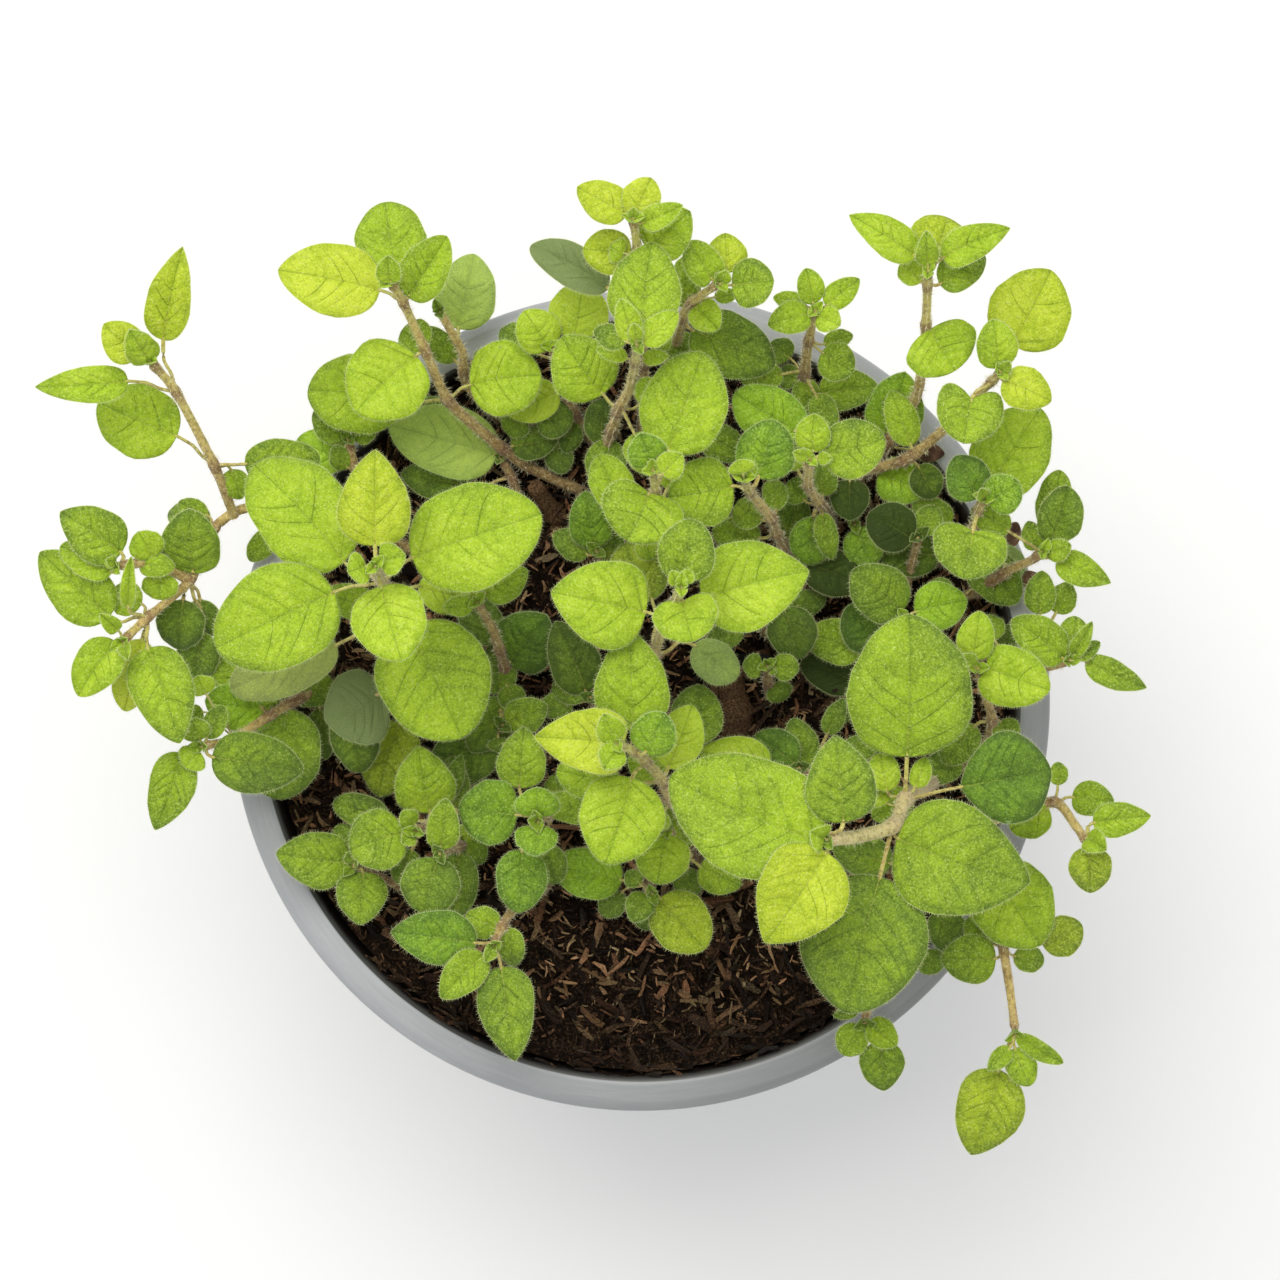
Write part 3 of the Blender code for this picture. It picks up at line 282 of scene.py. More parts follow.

# %% [markdown]
# ## The plant's layout
#
# A young oregano is a bundle of stems. Each stem carries pairs of leaves, every pair turned a
# quarter round from the one below. No rule gives where a real plant put them, so the table
# names each place one by one, as the solids have it. It holds a stem's lines from the root outward
# and the leaves that grow at each place along them.

# %% The stems and their leaves
# A stem has its lines as (column, row, height above the rim), where the root has no height, and
# its leaves by the (column, row) that they grow from. A leaf is (base column, base row, tip
# column, tip row, width in pixels, lift of the tip in mm) and may end with its own fold.
SHOOTS = {
    "stem_far_left": (
        [[(430, 560), (388, 538, 0), (330, 515, 8), (247, 508, 14), (213, 530, 15), (190, 580, 17),
          (147, 618, 22), (124, 640, 25)],
         [(232, 517, 14.5), (214, 465, 22), (176, 392, 33), (151, 362, 38)],
         [(190, 580, 17), (150, 563, 22), (118, 566, 25)]],
        {(176, 392): [(163, 340, 182, 247, 46, 6, 0.5), (128, 381, 35, 387, 38, 4, 0.25)],
         (153, 365): [(140, 356, 104, 324, 42, 3), (150, 362, 130, 331, 34, 8)],
         (214, 465): [(177, 436, 98, 402, 74, 2, 0.05), (245, 464, 320, 458, 46, -4),
          (231, 470, 240, 500, 30, -6)],
         (190, 578): [(193, 573, 190, 510, 62, 9), (183, 600, 180, 650, 50, -6),
          (200, 600, 205, 640, 36, -9), (202, 632, 196, 681, 44, -12)],
         (213, 528): [(218, 520, 166, 514, 34, -4), (207, 515, 178, 502, 22, -2)],
         (147, 618): [(109, 617, 40, 552, 62, 3), (148, 648, 179, 743, 64, 2), (150, 600, 112, 592, 36, -3),
          (142, 640, 124, 712, 42, -7), (128, 608, 131, 557, 16, 9, 0.6)],
         (124, 640): [(117, 642, 78, 696, 48, 1, 0.3), (118, 630, 100, 614, 18, 5, 0.6),
          (124, 646, 128, 660, 14, 5, 0.6)],
         (122, 566): [(134, 552, 60, 512, 56, 3), (112, 572, 60, 546, 38, -1), (116, 562, 106, 560, 12, 4)],
         (152, 563): [(160, 562, 138, 532, 36, 5), (167, 567, 160, 600, 38, -2)]}),
    "stem_left_low": (
        [[(422, 678), (345, 684, -1), (290, 703, 7), (235, 738, 13), (203, 746, 17)]],
        {(290, 703): [(287, 708, 277, 799, 80, -5), (278, 707, 205, 701, 52, 4)],
         (235, 738): [(206, 694, 197, 676, 28, 7), (203, 712, 190, 716, 20, 2)],
         (203, 746): [(212, 757, 303, 769, 62, 0), (201, 741, 184, 767, 32, 3), (200, 740, 191, 718, 30, 4),
          (182, 753, 155, 830, 48, -3, 0.3)]}),
    "stem_upper_left": (
        [[(582, 492), (525, 465, 1), (480, 430, 8), (447, 399, 14), (425, 350, 22), (403, 302, 31),
          (391, 283, 35)]],
        {(391, 284): [(391, 292, 388, 256, 26, 5, 0.4), (390, 284, 394, 275, 12, 3)],
         (403, 302): [(380, 290, 278, 270, 74, 2), (398, 277, 385, 202, 72, 0),
          (408, 297, 447, 236, 50, 5, 0.5)],
         (425, 350): [(416, 356, 356, 412, 86, 4), (440, 352, 402, 330, 42, -6)],
         (447, 399): [(470, 385, 541, 375, 76, 2), (405, 402, 307, 390, 80, -3)]}),
    "stem_upper_back": (
        [[(497, 418), (466, 382, 6), (462, 352, 14), (440, 312, 23)]],
        {(465, 372): [(458, 329, 474, 254, 62, 3, 0.2), (474, 360, 494, 352, 18, 4)]}),
    "stem_left_middle": (
        [[(425, 640), (398, 608, 20), (382, 582, 36), (376, 570, 46), (375, 566, 50)]],
        {(375, 567): [(366, 566, 348, 572, 34, 3, 0.3), (381, 562, 405, 556, 34, 3, 0.3)],
         (377, 572): [(375, 546, 375, 450, 74, 3), (381, 586, 402, 661, 76, 3)],
         (382, 582): [(412, 558, 541, 514, 106, 3), (334, 592, 216, 648, 104, 2),
          (344, 562, 253, 464, 96, -4)],
         (398, 608): [(410, 626, 462, 738, 114, 0), (336, 645, 230, 690, 60, -9),
          (415, 580, 478, 599, 42, -5)]}),
    "stem_left_under": (
        [[(457, 708), (424, 692, 2), (390, 692, 8), (348, 702, 11)]],
        {(390, 692): [(402, 694, 326, 720, 78, 5)],
         (424, 692): [(400, 722, 378, 797, 60, -3)],
         (348, 702): [(346, 704, 370, 770, 50, -5)]}),
    "stem_rim_left": (
        [[(402, 886), (372, 874, 0), (354, 867, 5)]],
        {(354, 867): [(348, 863, 276, 853, 58, 2), (363, 872, 360, 925, 52, 2), (354, 862, 349, 852, 18, 3),
          (356, 850, 336, 826, 30, -1)]}),
    "stem_low_left": (
        [[(452, 812), (432, 822, 7), (416, 831, 14)]],
        {(417, 830): [(404, 833, 350, 850, 62, 2), (415, 824, 402, 812, 22, 3),
          (414, 835, 402, 843, 18, 3)],
         (432, 822): [(388, 818, 332, 802, 34, -6), (412, 850, 400, 885, 30, -6),
          (430, 812, 418, 747, 62, 6)]}),
    "stem_low_left_inner": (
        [[(478, 842), (458, 846, 5), (440, 853, 14)]],
        {(440, 853): [(439, 857, 446, 799, 34, 6, 0.3), (438, 858, 424, 914, 60, 1)],
         (458, 846): [(467, 838, 452, 920, 46, -2), (456, 810, 452, 756, 32, -2)]}),
    "stem_low_middle": (
        [[(566, 806), (552, 812, 8), (538, 821, 18)]],
        {(538, 821): [(538, 820, 537, 788, 46, 4), (537, 823, 535, 856, 44, 4),
          (536, 821, 528, 820, 12, 4)],
         (545, 817): [(517, 815, 459, 808, 66, 1), (522, 850, 518, 913, 52, 0),
          (519, 788, 524, 727, 50, 2)],
         (552, 812): [(545, 845, 556, 884, 36, -5), (562, 800, 556, 774, 30, -2)]}),
    "stem_low_front": (
        [[(548, 884), (515, 908, 8), (502, 926, 13), (494, 945, 17)]],
        {(496, 942): [(476, 943, 391, 932, 56, 1), (484, 955, 441, 998, 40, 3, 0.3),
          (501, 967, 515, 1061, 58, 2), (493, 950, 485, 962, 14, 2, 0.5)],
         (502, 926): [(498, 930, 466, 914, 34, 0), (508, 928, 513, 967, 28, -5)]}),
    "stem_front_small": (
        [[(692, 856), (680, 842, 3), (668, 829, 11)]],
        {(668, 829): [(668, 832, 657, 884, 56, 3), (664, 826, 654, 803, 28, 1)],
         (680, 842): [(688, 868, 688, 900, 30, -4), (700, 866, 741, 886, 40, 0)]}),
    "stem_front_tiny": (
        [[(650, 868), (648, 884, 0), (652, 893, 7)]],
        {(652, 893): [(646, 889, 632, 921, 30, 2), (660, 898, 705, 949, 60, 3),
          (640, 884, 626, 872, 20, 1)],
         (648, 884): [(622, 880, 551, 865, 52, 3), (622, 892, 602, 916, 28, -1),
          (642, 905, 648, 930, 24, -3)]}),
    "stem_centre_front": (
        [[(702, 832), (672, 800, 18), (659, 776, 28), (637, 753, 37), (617, 744, 43)]],
        {(617, 744): [(616, 741, 604, 714, 30, 4, 0.3), (620, 748, 604, 769, 30, 3, 0.3)],
         (634, 752): [(624, 744, 534, 737, 66, 1), (645, 768, 664, 713, 46, 7)],
         (645, 762): [(632, 730, 629, 628, 76, 2), (632, 778, 605, 864, 86, 0)],
         (662, 782): [(668, 768, 692, 705, 48, 0), (618, 784, 556, 770, 46, -5)],
         (672, 800): [(690, 745, 700, 684, 54, -5), (664, 812, 654, 828, 24, -6)]}),
    "stem_centre": (
        [[(645, 690), (654, 655, 20), (664, 624, 36), (677, 598, 46), (681, 587, 51)]],
        {(681, 588): [(678, 584, 671, 571, 16, 2, 0.4), (684, 582, 691, 570, 16, 2, 0.4)],
         (677, 598): [(684, 581, 691, 519, 58, 3), (683, 601, 693, 641, 66, 3)],
         (665, 622): [(646, 612, 551, 592, 90, 3), (702, 600, 809, 571, 92, 2)],
         (654, 655): [(652, 600, 624, 543, 60, -6), (694, 638, 737, 678, 42, -4)]}),
    "stem_centre_back": (
        [[(650, 578), (657, 545, 12), (660, 520, 24), (656, 490, 34), (653, 471, 40)]],
        {(653, 471): [(652, 475, 640, 433, 40, 4), (658, 486, 682, 454, 30, 4),
          (653, 468, 652, 459, 12, 3)],
         (656, 490): [(647, 487, 627, 541, 84, 2), (668, 452, 702, 352, 86, 0)],
         (660, 520): [(624, 510, 598, 455, 44, -3), (640, 535, 652, 560, 26, -6)]}),
    "stem_right_middle": (
        [[(792, 562), (776, 533, 10), (771, 518, 17), (750, 492, 28), (744, 478, 34)]],
        {(744, 478): [(747, 490, 740, 460, 28, 4), (748, 474, 756, 466, 12, 3)],
         (750, 492): [(733, 486, 668, 497, 70, 1), (758, 478, 774, 420, 60, 2)],
         (771, 518): [(762, 520, 736, 503, 36, -5), (776, 510, 772, 478, 26, -5)],
         (776, 533): [(760, 538, 712, 531, 36, -4)]}),
    "stem_right_middle_small": (
        [[(833, 524), (819, 503, 10), (808, 485, 19), (810, 460, 30)]],
        {(810, 460): [(813, 452, 814, 414, 36, 4), (822, 455, 885, 438, 60, 3), (806, 458, 794, 452, 14, 4),
          (818, 459, 832, 458, 14, 3)],
         (808, 485): [(796, 432, 734, 393, 58, -2), (798, 470, 788, 442, 26, -6)],
         (819, 503): [(803, 508, 790, 480, 32, -1), (812, 516, 802, 564, 44, -5),
          (822, 513, 832, 560, 24, -3)]}),
    "stem_back_centre": (
        [[(666, 388), (674, 352, 6), (683, 318, 21), (692, 302, 27), (718, 284, 34)]],
        {(718, 284): [(727, 273, 725, 233, 42, 4), (732, 285, 774, 281, 50, 4), (712, 279, 688, 242, 38, 4),
          (722, 282, 726, 271, 16, 4)],
         (692, 302): [(694, 306, 718, 330, 34, 2, 0.5), (715, 297, 738, 293, 16, -2)],
         (683, 318): [(692, 330, 776, 366, 66, -6), (668, 328, 648, 344, 36, -8)]}),
    "stem_tall_centre": (
        [[(602, 464), (606, 448, 8), (618, 412, 20), (629, 390, 27), (635, 362, 38), (637, 346, 45)]],
        {(637, 346): [(634, 346, 621, 300, 28, 5), (641, 346, 678, 312, 30, 4), (636, 340, 634, 324, 16, 4),
          (642, 336, 652, 241, 74, -3)],
         (635, 362): [(627, 358, 597, 349, 17, 2), (643, 359, 669, 356, 17, 2)],
         (618, 412): [(603, 394, 562, 337, 68, 4), (640, 404, 662, 380, 34, -4)],
         (606, 448): [(600, 446, 602, 398, 36, -3)]}),
    "stem_back_top": (
        [[(642, 438), (644, 395, 3), (642, 345, 17), (639, 290, 31), (637, 245, 38), (633, 220, 43)]],
        {(633, 221): [(627, 214, 577, 187, 42, 3), (637, 221, 651, 178, 40, 3),
          (642, 223, 683, 205, 26, 5, 0.4), (633, 219, 634, 208, 12, 3)],
         (638, 250): [(647, 248, 690, 211, 56, 5), (631, 256, 583, 249, 46, 0),
          (633, 268, 610, 247, 28, 2)],
         (639, 290): [(608, 288, 530, 246, 44, -6, 0.3)]}),
    "stem_back_left": (
        [[(592, 442), (575, 415, 3), (568, 396, 7), (558, 362, 14), (553, 348, 18)]],
        {(554, 350): [(548, 357, 524, 311, 46, 4), (574, 338, 582, 282, 62, 3)],
         (568, 396): [(558, 391, 505, 413, 42, -5)],
         (558, 362): [(532, 350, 500, 330, 34, -8)]}),
    "stem_back_right_small": (
        [[(797, 412), (803, 385, 4), (808, 345, 16), (815, 312, 25)]],
        {(815, 312): [(813, 304, 806, 269, 28, 4), (826, 306, 859, 279, 28, 3), (818, 315, 840, 325, 28, 2),
          (810, 314, 768, 325, 34, 1), (806, 306, 773, 297, 20, -2)],
         (809, 343): [(822, 352, 853, 372, 40, 0), (824, 344, 853, 335, 20, -1)],
         (804, 374): [(790, 358, 771, 342, 30, 1), (800, 380, 776, 372, 26, -4),
          (819, 394, 878, 386, 42, 0)]}),
    "stem_back_right": (
        [[(878, 462), (889, 441, 4), (912, 405, 10), (919, 388, 15), (923, 355, 24), (926, 325, 31),
          (928, 272, 43)]],
        {(928, 272): [(928, 264, 927, 232, 24, 6, 0.4), (916, 256, 850, 215, 40, 4, 0.3),
          (943, 258, 1010, 228, 38, 4, 0.3), (934, 256, 948, 217, 62, -1)],
         (928, 284): [(940, 284, 986, 256, 40, -2), (921, 282, 902, 262, 30, -2)],
         (926, 325): [(929, 326, 955, 371, 76, -1, 0.2)],
         (889, 441): [(887, 434, 905, 372, 58, 9)]}),
    "stem_right_high": (
        [[(835, 497), (864, 472, 2), (905, 460, 9), (940, 433, 15), (975, 398, 24), (990, 383, 29),
          (1000, 373, 33)]],
        {(1000, 373): [(995, 375, 993, 320, 42, 5), (1003, 380, 1051, 401, 44, 2),
          (1002, 371, 1010, 362, 14, 3)],
         (992, 381): [(1012, 346, 1051, 270, 84, 2), (972, 399, 964, 443, 68, 3)],
         (864, 472): [(879, 473, 927, 490, 48, 5), (850, 480, 850, 520, 40, 5)],
         (905, 460): [(918, 466, 936, 497, 34, -3)]}),
    "stem_right_inner": (
        [[(940, 562), (955, 545, 2), (974, 526, 12), (978, 510, 20), (983, 499, 24)]],
        {(983, 499): [(984, 498, 981, 489, 14, 4), (977, 502, 955, 456, 46, 4),
          (988, 506, 1019, 482, 42, 4)],
         (978, 510): [(973, 531, 963, 579, 76, 4), (988, 491, 1041, 408, 78, 0)],
         (955, 545): [(948, 528, 914, 500, 38, 4), (975, 574, 1026, 562, 46, 4)]}),
    "stem_right_outer": (
        [[(946, 606), (982, 587, 4), (1010, 570, 9), (1032, 560, 13), (1042, 552, 16)]],
        {(1038, 556): [(1051, 542, 1068, 486, 46, 4, 0.4), (1057, 560, 1111, 583, 34, 2, 0.3),
          (1046, 553, 1071, 545, 24, 5), (1036, 550, 1028, 521, 24, 3), (1046, 528, 1060, 470, 36, 0)],
         (982, 587): [(950, 596, 930, 582, 24, -2)]}),
    "stem_right_thin": (
        [[(957, 656), (995, 655, 3), (1020, 662, 8), (1047, 667, 12), (1068, 661, 15)]],
        {(1068, 661): [(1069, 655, 1076, 616, 34, 2), (1073, 656, 1092, 622, 18, 5, 0.5),
          (1075, 658, 1100, 642, 18, 3, 0.4), (1086, 661, 1147, 688, 30, 0, 0.3),
          (1065, 664, 1013, 620, 44, 4, 0.3)],
         (1020, 662): [(1040, 614, 1042, 571, 32, 5), (1056, 613, 1070, 582, 30, 2),
          (995, 640, 985, 615, 30, -3)]}),
    "stem_right_upright": (
        [[(962, 768), (984, 748, 3), (992, 720, 11), (985, 694, 16), (978, 670, 21)]],
        {(978, 670): [(973, 660, 980, 612, 38, 4), (987, 668, 1050, 690, 62, 3),
          (974, 667, 961, 655, 18, 3)],
         (992, 720): [(1001, 715, 1014, 742, 30, -2), (975, 726, 944, 764, 38, -4)]}),
    "stem_big_rosette": (
        [[(938, 778), (922, 788, 16), (905, 800, 31), (893, 826, 39), (855, 837, 45), (828, 839, 50)]],
        {(829, 839): [(825, 838, 811, 832, 30, 4, 0.5), (848, 825, 835, 735, 72, 2),
          (827, 852, 765, 943, 92, 1), (821, 842, 669, 777, 122, -3)],
         (893, 826): [(897, 838, 1030, 882, 116, 2), (880, 877, 846, 1013, 128, -1),
          (878, 838, 870, 836, 12, 4)],
         (905, 800): [(907, 757, 909, 614, 126, 7), (961, 787, 1052, 770, 94, -3),
          (887, 791, 881, 752, 34, -2), (915, 787, 926, 757, 22, -2), (886, 812, 876, 790, 26, -4)]}),
    "stem_right_low": (
        [[(892, 872), (935, 866, 4), (978, 862, 11), (995, 885, 10), (1001, 915, 10), (1003, 945, 13),
          (1010, 990, 15), (1015, 1030, 15)]],
        {(978, 862): [(990, 868, 1040, 945, 84, 6)],
         (1003, 945): [(999, 962, 941, 958, 50, -2), (1042, 944, 1082, 925, 42, 2),
          (1014, 956, 1044, 962, 28, -4), (994, 944, 967, 918, 34, -2)],
         (1015, 1030): [(999, 1070, 971, 1155, 70, -3), (1012, 1037, 1063, 1063, 20, 3, 0.5),
          (1015, 1048, 1030, 1086, 32, 1), (1010, 1048, 988, 1070, 20, 4)],
         (935, 866): [(935, 912, 962, 955, 40, -3)]}),
    "stem_right_low_small": (
        [[(930, 832), (973, 826, 4), (1010, 814, 10), (1055, 802, 14), (1075, 825, 18), (1087, 842, 21)]],
        {(1055, 802): [(1072, 797, 1114, 803, 36, 4), (1048, 808, 1010, 830, 40, -3),
          (1058, 785, 1058, 762, 20, 1)],
         (1086, 841): [(1093, 823, 1151, 816, 36, 2), (1089, 847, 1091, 893, 44, 1),
          (1082, 834, 1106, 850, 26, 5, 0.5)]}),
    "stem_front_right_small": (
        [[(851, 962), (858, 985, 2), (867, 1005, 8), (865, 1022, 12)]],
        {(865, 1022): [(880, 1042, 884, 1091, 46, -2), (860, 1025, 843, 1055, 34, 2),
          (869, 1017, 896, 1045, 30, 4)],
         (867, 1005): [(858, 1010, 833, 1016, 14, -1)]}),
    "stem_middle_tiny": (
        [[(770, 702), (768, 682, 2), (767, 666, 8)]],
        {(767, 666): [(762, 666, 743, 665, 26, 2), (773, 666, 799, 667, 28, 2), (770, 670, 776, 674, 8, 2)],
         (768, 682): [(775, 679, 785, 700, 28, -1)]}),
    "stem_right_core": (
        [[(886, 668), (893, 645, 3), (905, 620, 11)]],
        {(905, 620): [(902, 612, 853, 570, 57, 4), (915, 612, 967, 600, 50, 3)],
         (893, 645): [(878, 656, 848, 606, 52, 5), (862, 650, 806, 634, 46, 0)],
         (886, 664): [(862, 690, 801, 662, 44, 2), (852, 712, 826, 714, 22, 0)]}),
    "stem_middle_core": (
        [[(764, 632), (768, 614, 2), (776, 600, 8)]],
        {(776, 600): [(784, 608, 800, 659, 50, 1)]}),
    "stem_right_front_core": (
        [[(818, 792), (812, 780, 1), (800, 768, 8)]],
        {(800, 768): [(796, 764, 755, 735, 44, 1), (770, 765, 699, 752, 44, 8)]}),
    "stem_right_back_core": (
        [[(904, 592), (912, 562, 3), (918, 538, 9)]],
        {(918, 538): [(912, 539, 868, 515, 50, 1), (920, 536, 936, 506, 30, 0)]}),
    "stem_back_core_small": (
        [[(851, 514), (853, 519, 1), (854, 523, 3)]],
        {(853, 523): [(856, 528, 872, 566, 42, 1)]}),
    "stem_left_core": (
        [[(514, 694), (505, 668, 2), (494, 632, 11), (478, 603, 19)]],
        {(478, 603): [(484, 594, 527, 570, 38, 2), (474, 605, 444, 608, 22, 2)],
         (505, 668): [(504, 670, 546, 616, 66, 7), (507, 686, 516, 710, 28, 1)]}),
    "stem_middle_left_core": (
        [[(604, 718), (597, 708, 0), (591, 698, 5)]],
        {(591, 698): [(586, 692, 556, 622, 52, 4), (592, 702, 552, 686, 28, 1)]}),
    "stem_left_front_core": (
        [[(500, 758), (501, 740, 0), (502, 726, 5)]],
        {(502, 726): [(505, 722, 547, 706, 38, 2), (498, 738, 500, 752, 24, -1)]}),
    "stem_upper_core": (
        [[(520, 502), (512, 478, 0), (502, 460, 2)]],
        {(502, 460): [(497, 455, 389, 425, 72, 1), (478, 436, 404, 404, 44, 0)],
         (512, 478): [(470, 486, 401, 474, 42, -1)]}),
    "stem_upper_left_core": (
        [[(402, 492), (375, 482, 1), (356, 468, 4), (349, 442, 7)]],
        {(349, 442): [(346, 438, 314, 411, 36, 2), (353, 438, 374, 420, 26, 2)],
         (356, 468): [(345, 462, 297, 440, 44, 2), (348, 468, 334, 446, 24, 4)]}),
    "stem_back_core": (
        [[(538, 440), (530, 432, 0), (521, 410, 5)]],
        {(521, 410): [(522, 416, 507, 434, 32, -1), (536, 420, 573, 416, 40, 1)],
         (530, 432): [(556, 442, 563, 474, 30, 2)]}),
    "stem_middle_core_small": (
        [[(604, 574), (600, 562, 0), (597, 552, 5)]],
        {(597, 552): [(596, 548, 585, 492, 44, 4), (590, 562, 553, 533, 32, 1)]}),
}

leaf_rows = [row for _, whorls in SHOOTS.values() for rows in whorls.values() for row in rows]
print("stems", len(SHOOTS), "leaves", len(leaf_rows))

# %% [markdown]
# ## Lines of the stems
#
# The stems stand in the soil, whose top is a low dome with coarse lumps. A side stem starts on
# the stem that bears it. These few rules are the ones the solids were made with, so that each
# fine stem runs down the middle of its solid.

# %% Soil surface and stem lines
HEIGHT_STRETCH = 1.25
SOIL_TOP, SOIL_DOME, SOIL_DROP = -6.5, 2.0, 0.8
SOIL_EDGE_R, SHOULDER_SHARE = 73.993, 0.86
BROAD_LUMP, SMALL_LUMP = 0.7, 0.5
ROOT_DEPTH, COLLAR_ABOVE_SOIL = 10.2, 1.2
NEAREST_STEPS = 8


def soil_height(x, y):
    """Top of the soil above a plan place, in millimetres."""
    share = min(1.0, math.hypot(x, y) / SOIL_EDGE_R)
    lumps = BROAD_LUMP * math.sin(x * 0.19 + 1.3) * math.cos(y * 0.23)
    lumps += SMALL_LUMP * math.sin(x * 0.41 - y * 0.33)
    drop = SOIL_DROP * (max(0.0, share - SHOULDER_SHARE) / (1.0 - SHOULDER_SHARE)) ** 2
    dome = SOIL_DOME * (1.0 - share ** 2)
    return POT_HEIGHT + SOIL_TOP + dome + lumps * (1.0 - share ** 4) - drop


def steps_along(lines):
    """Close places along every line."""
    return [start.lerp(end, k / NEAREST_STEPS) for line in lines
            for start, end in zip(line, line[1:]) for k in range(NEAREST_STEPS + 1)]


def beside(place, column, row):
    """How far a place lies from a picture place at its own height."""
    return (place - picture_place(column, row, place.z - POT_HEIGHT)).length


def nearest_place(lines, column, row):
    """The place on any of the lines whose picture place is nearest."""
    return min(steps_along(lines), key=lambda place: beside(place, column, row))


def stem_lines(rows):
    """The lines of one stem in millimetres. The first stands in the soil, the others start on it."""
    ground = picture_place(*rows[0][0], SOIL_TOP)
    ground.z = soil_height(ground.x, ground.y)
    foot, collar = ground - Vector((0, 0, ROOT_DEPTH)), ground + Vector((0, 0, COLLAR_ABOVE_SOIL))
    grown = [[picture_place(c, r, h * HEIGHT_STRETCH) for c, r, h in row[1:]] for row in rows]
    lines = [[foot, collar] + grown[0]]
    for row, line in zip(rows[1:], grown[1:]):
        lines.append([nearest_place(lines, *row[0][:2])] + line)
    return lines


LINES = {node: stem_lines(rows) for node, (rows, _) in SHOOTS.items()}
print("lines", sum(len(lines) for lines in LINES.values()))

# %% [markdown]
# ## Where each leaf lies
#
# Leaves push each other aside. In the solids some leaves were lifted or swung round the stem
# until they cleared the rest. Which ones, the packed meshes know: each leaf is tried in every
# allowed way and keeps the one whose corner points lie nearest to the packed solid's own.

# %% Ways that a leaf may lie
TIP_LIFTS = (0, -1.5, 1.5, -3, 3, -4.5, 4.5, -6.5, 6.5, -9, 9, -12, 12)
TIP_SWINGS = (0, 7, -7, 15, -15)
WAYS = sorted(((lift, swing) for lift in TIP_LIFTS for swing in TIP_SWINGS),
              key=lambda way: abs(way[0]) + 0.25 * abs(way[1]))
print("ways", len(WAYS), "from", WAYS[0], "to", WAYS[-1])

# %% A leaf and its place
USUAL_FOLD, BLADE_ARCH, BLADE_THICK = 0.16, 0.28, 0.7
SHORTEST_STALK, LONGEST_SHARE = 1.2, 0.6
START_SPREAD = 0.12
MOST_BEND = math.radians(62)
# narrowest blade in pixels, then the share of the length and of the width of each pair of corners
CORNER_ROWS = ((57.0, ((0.10, 0.66), (0.40, 1.0), (0.78, 0.72))), (23.01, ((0.20, 0.88), (0.66, 0.88))),
               (0.0, ((0.48, 1.0),)))
CLOSE_ENOUGH, FAR_OFF = 0.02, 0.6
UP = Vector((0.0, 0.0, 1.0))


class PlainLeaf:
    """A leaf isn't notched, pointed, frosted (a pale coat, partly painted sheen), warm or cool unless it
    says so.
    """

    heart, point, frost, hue = 0.0, 0.0, 0.0, 0.5


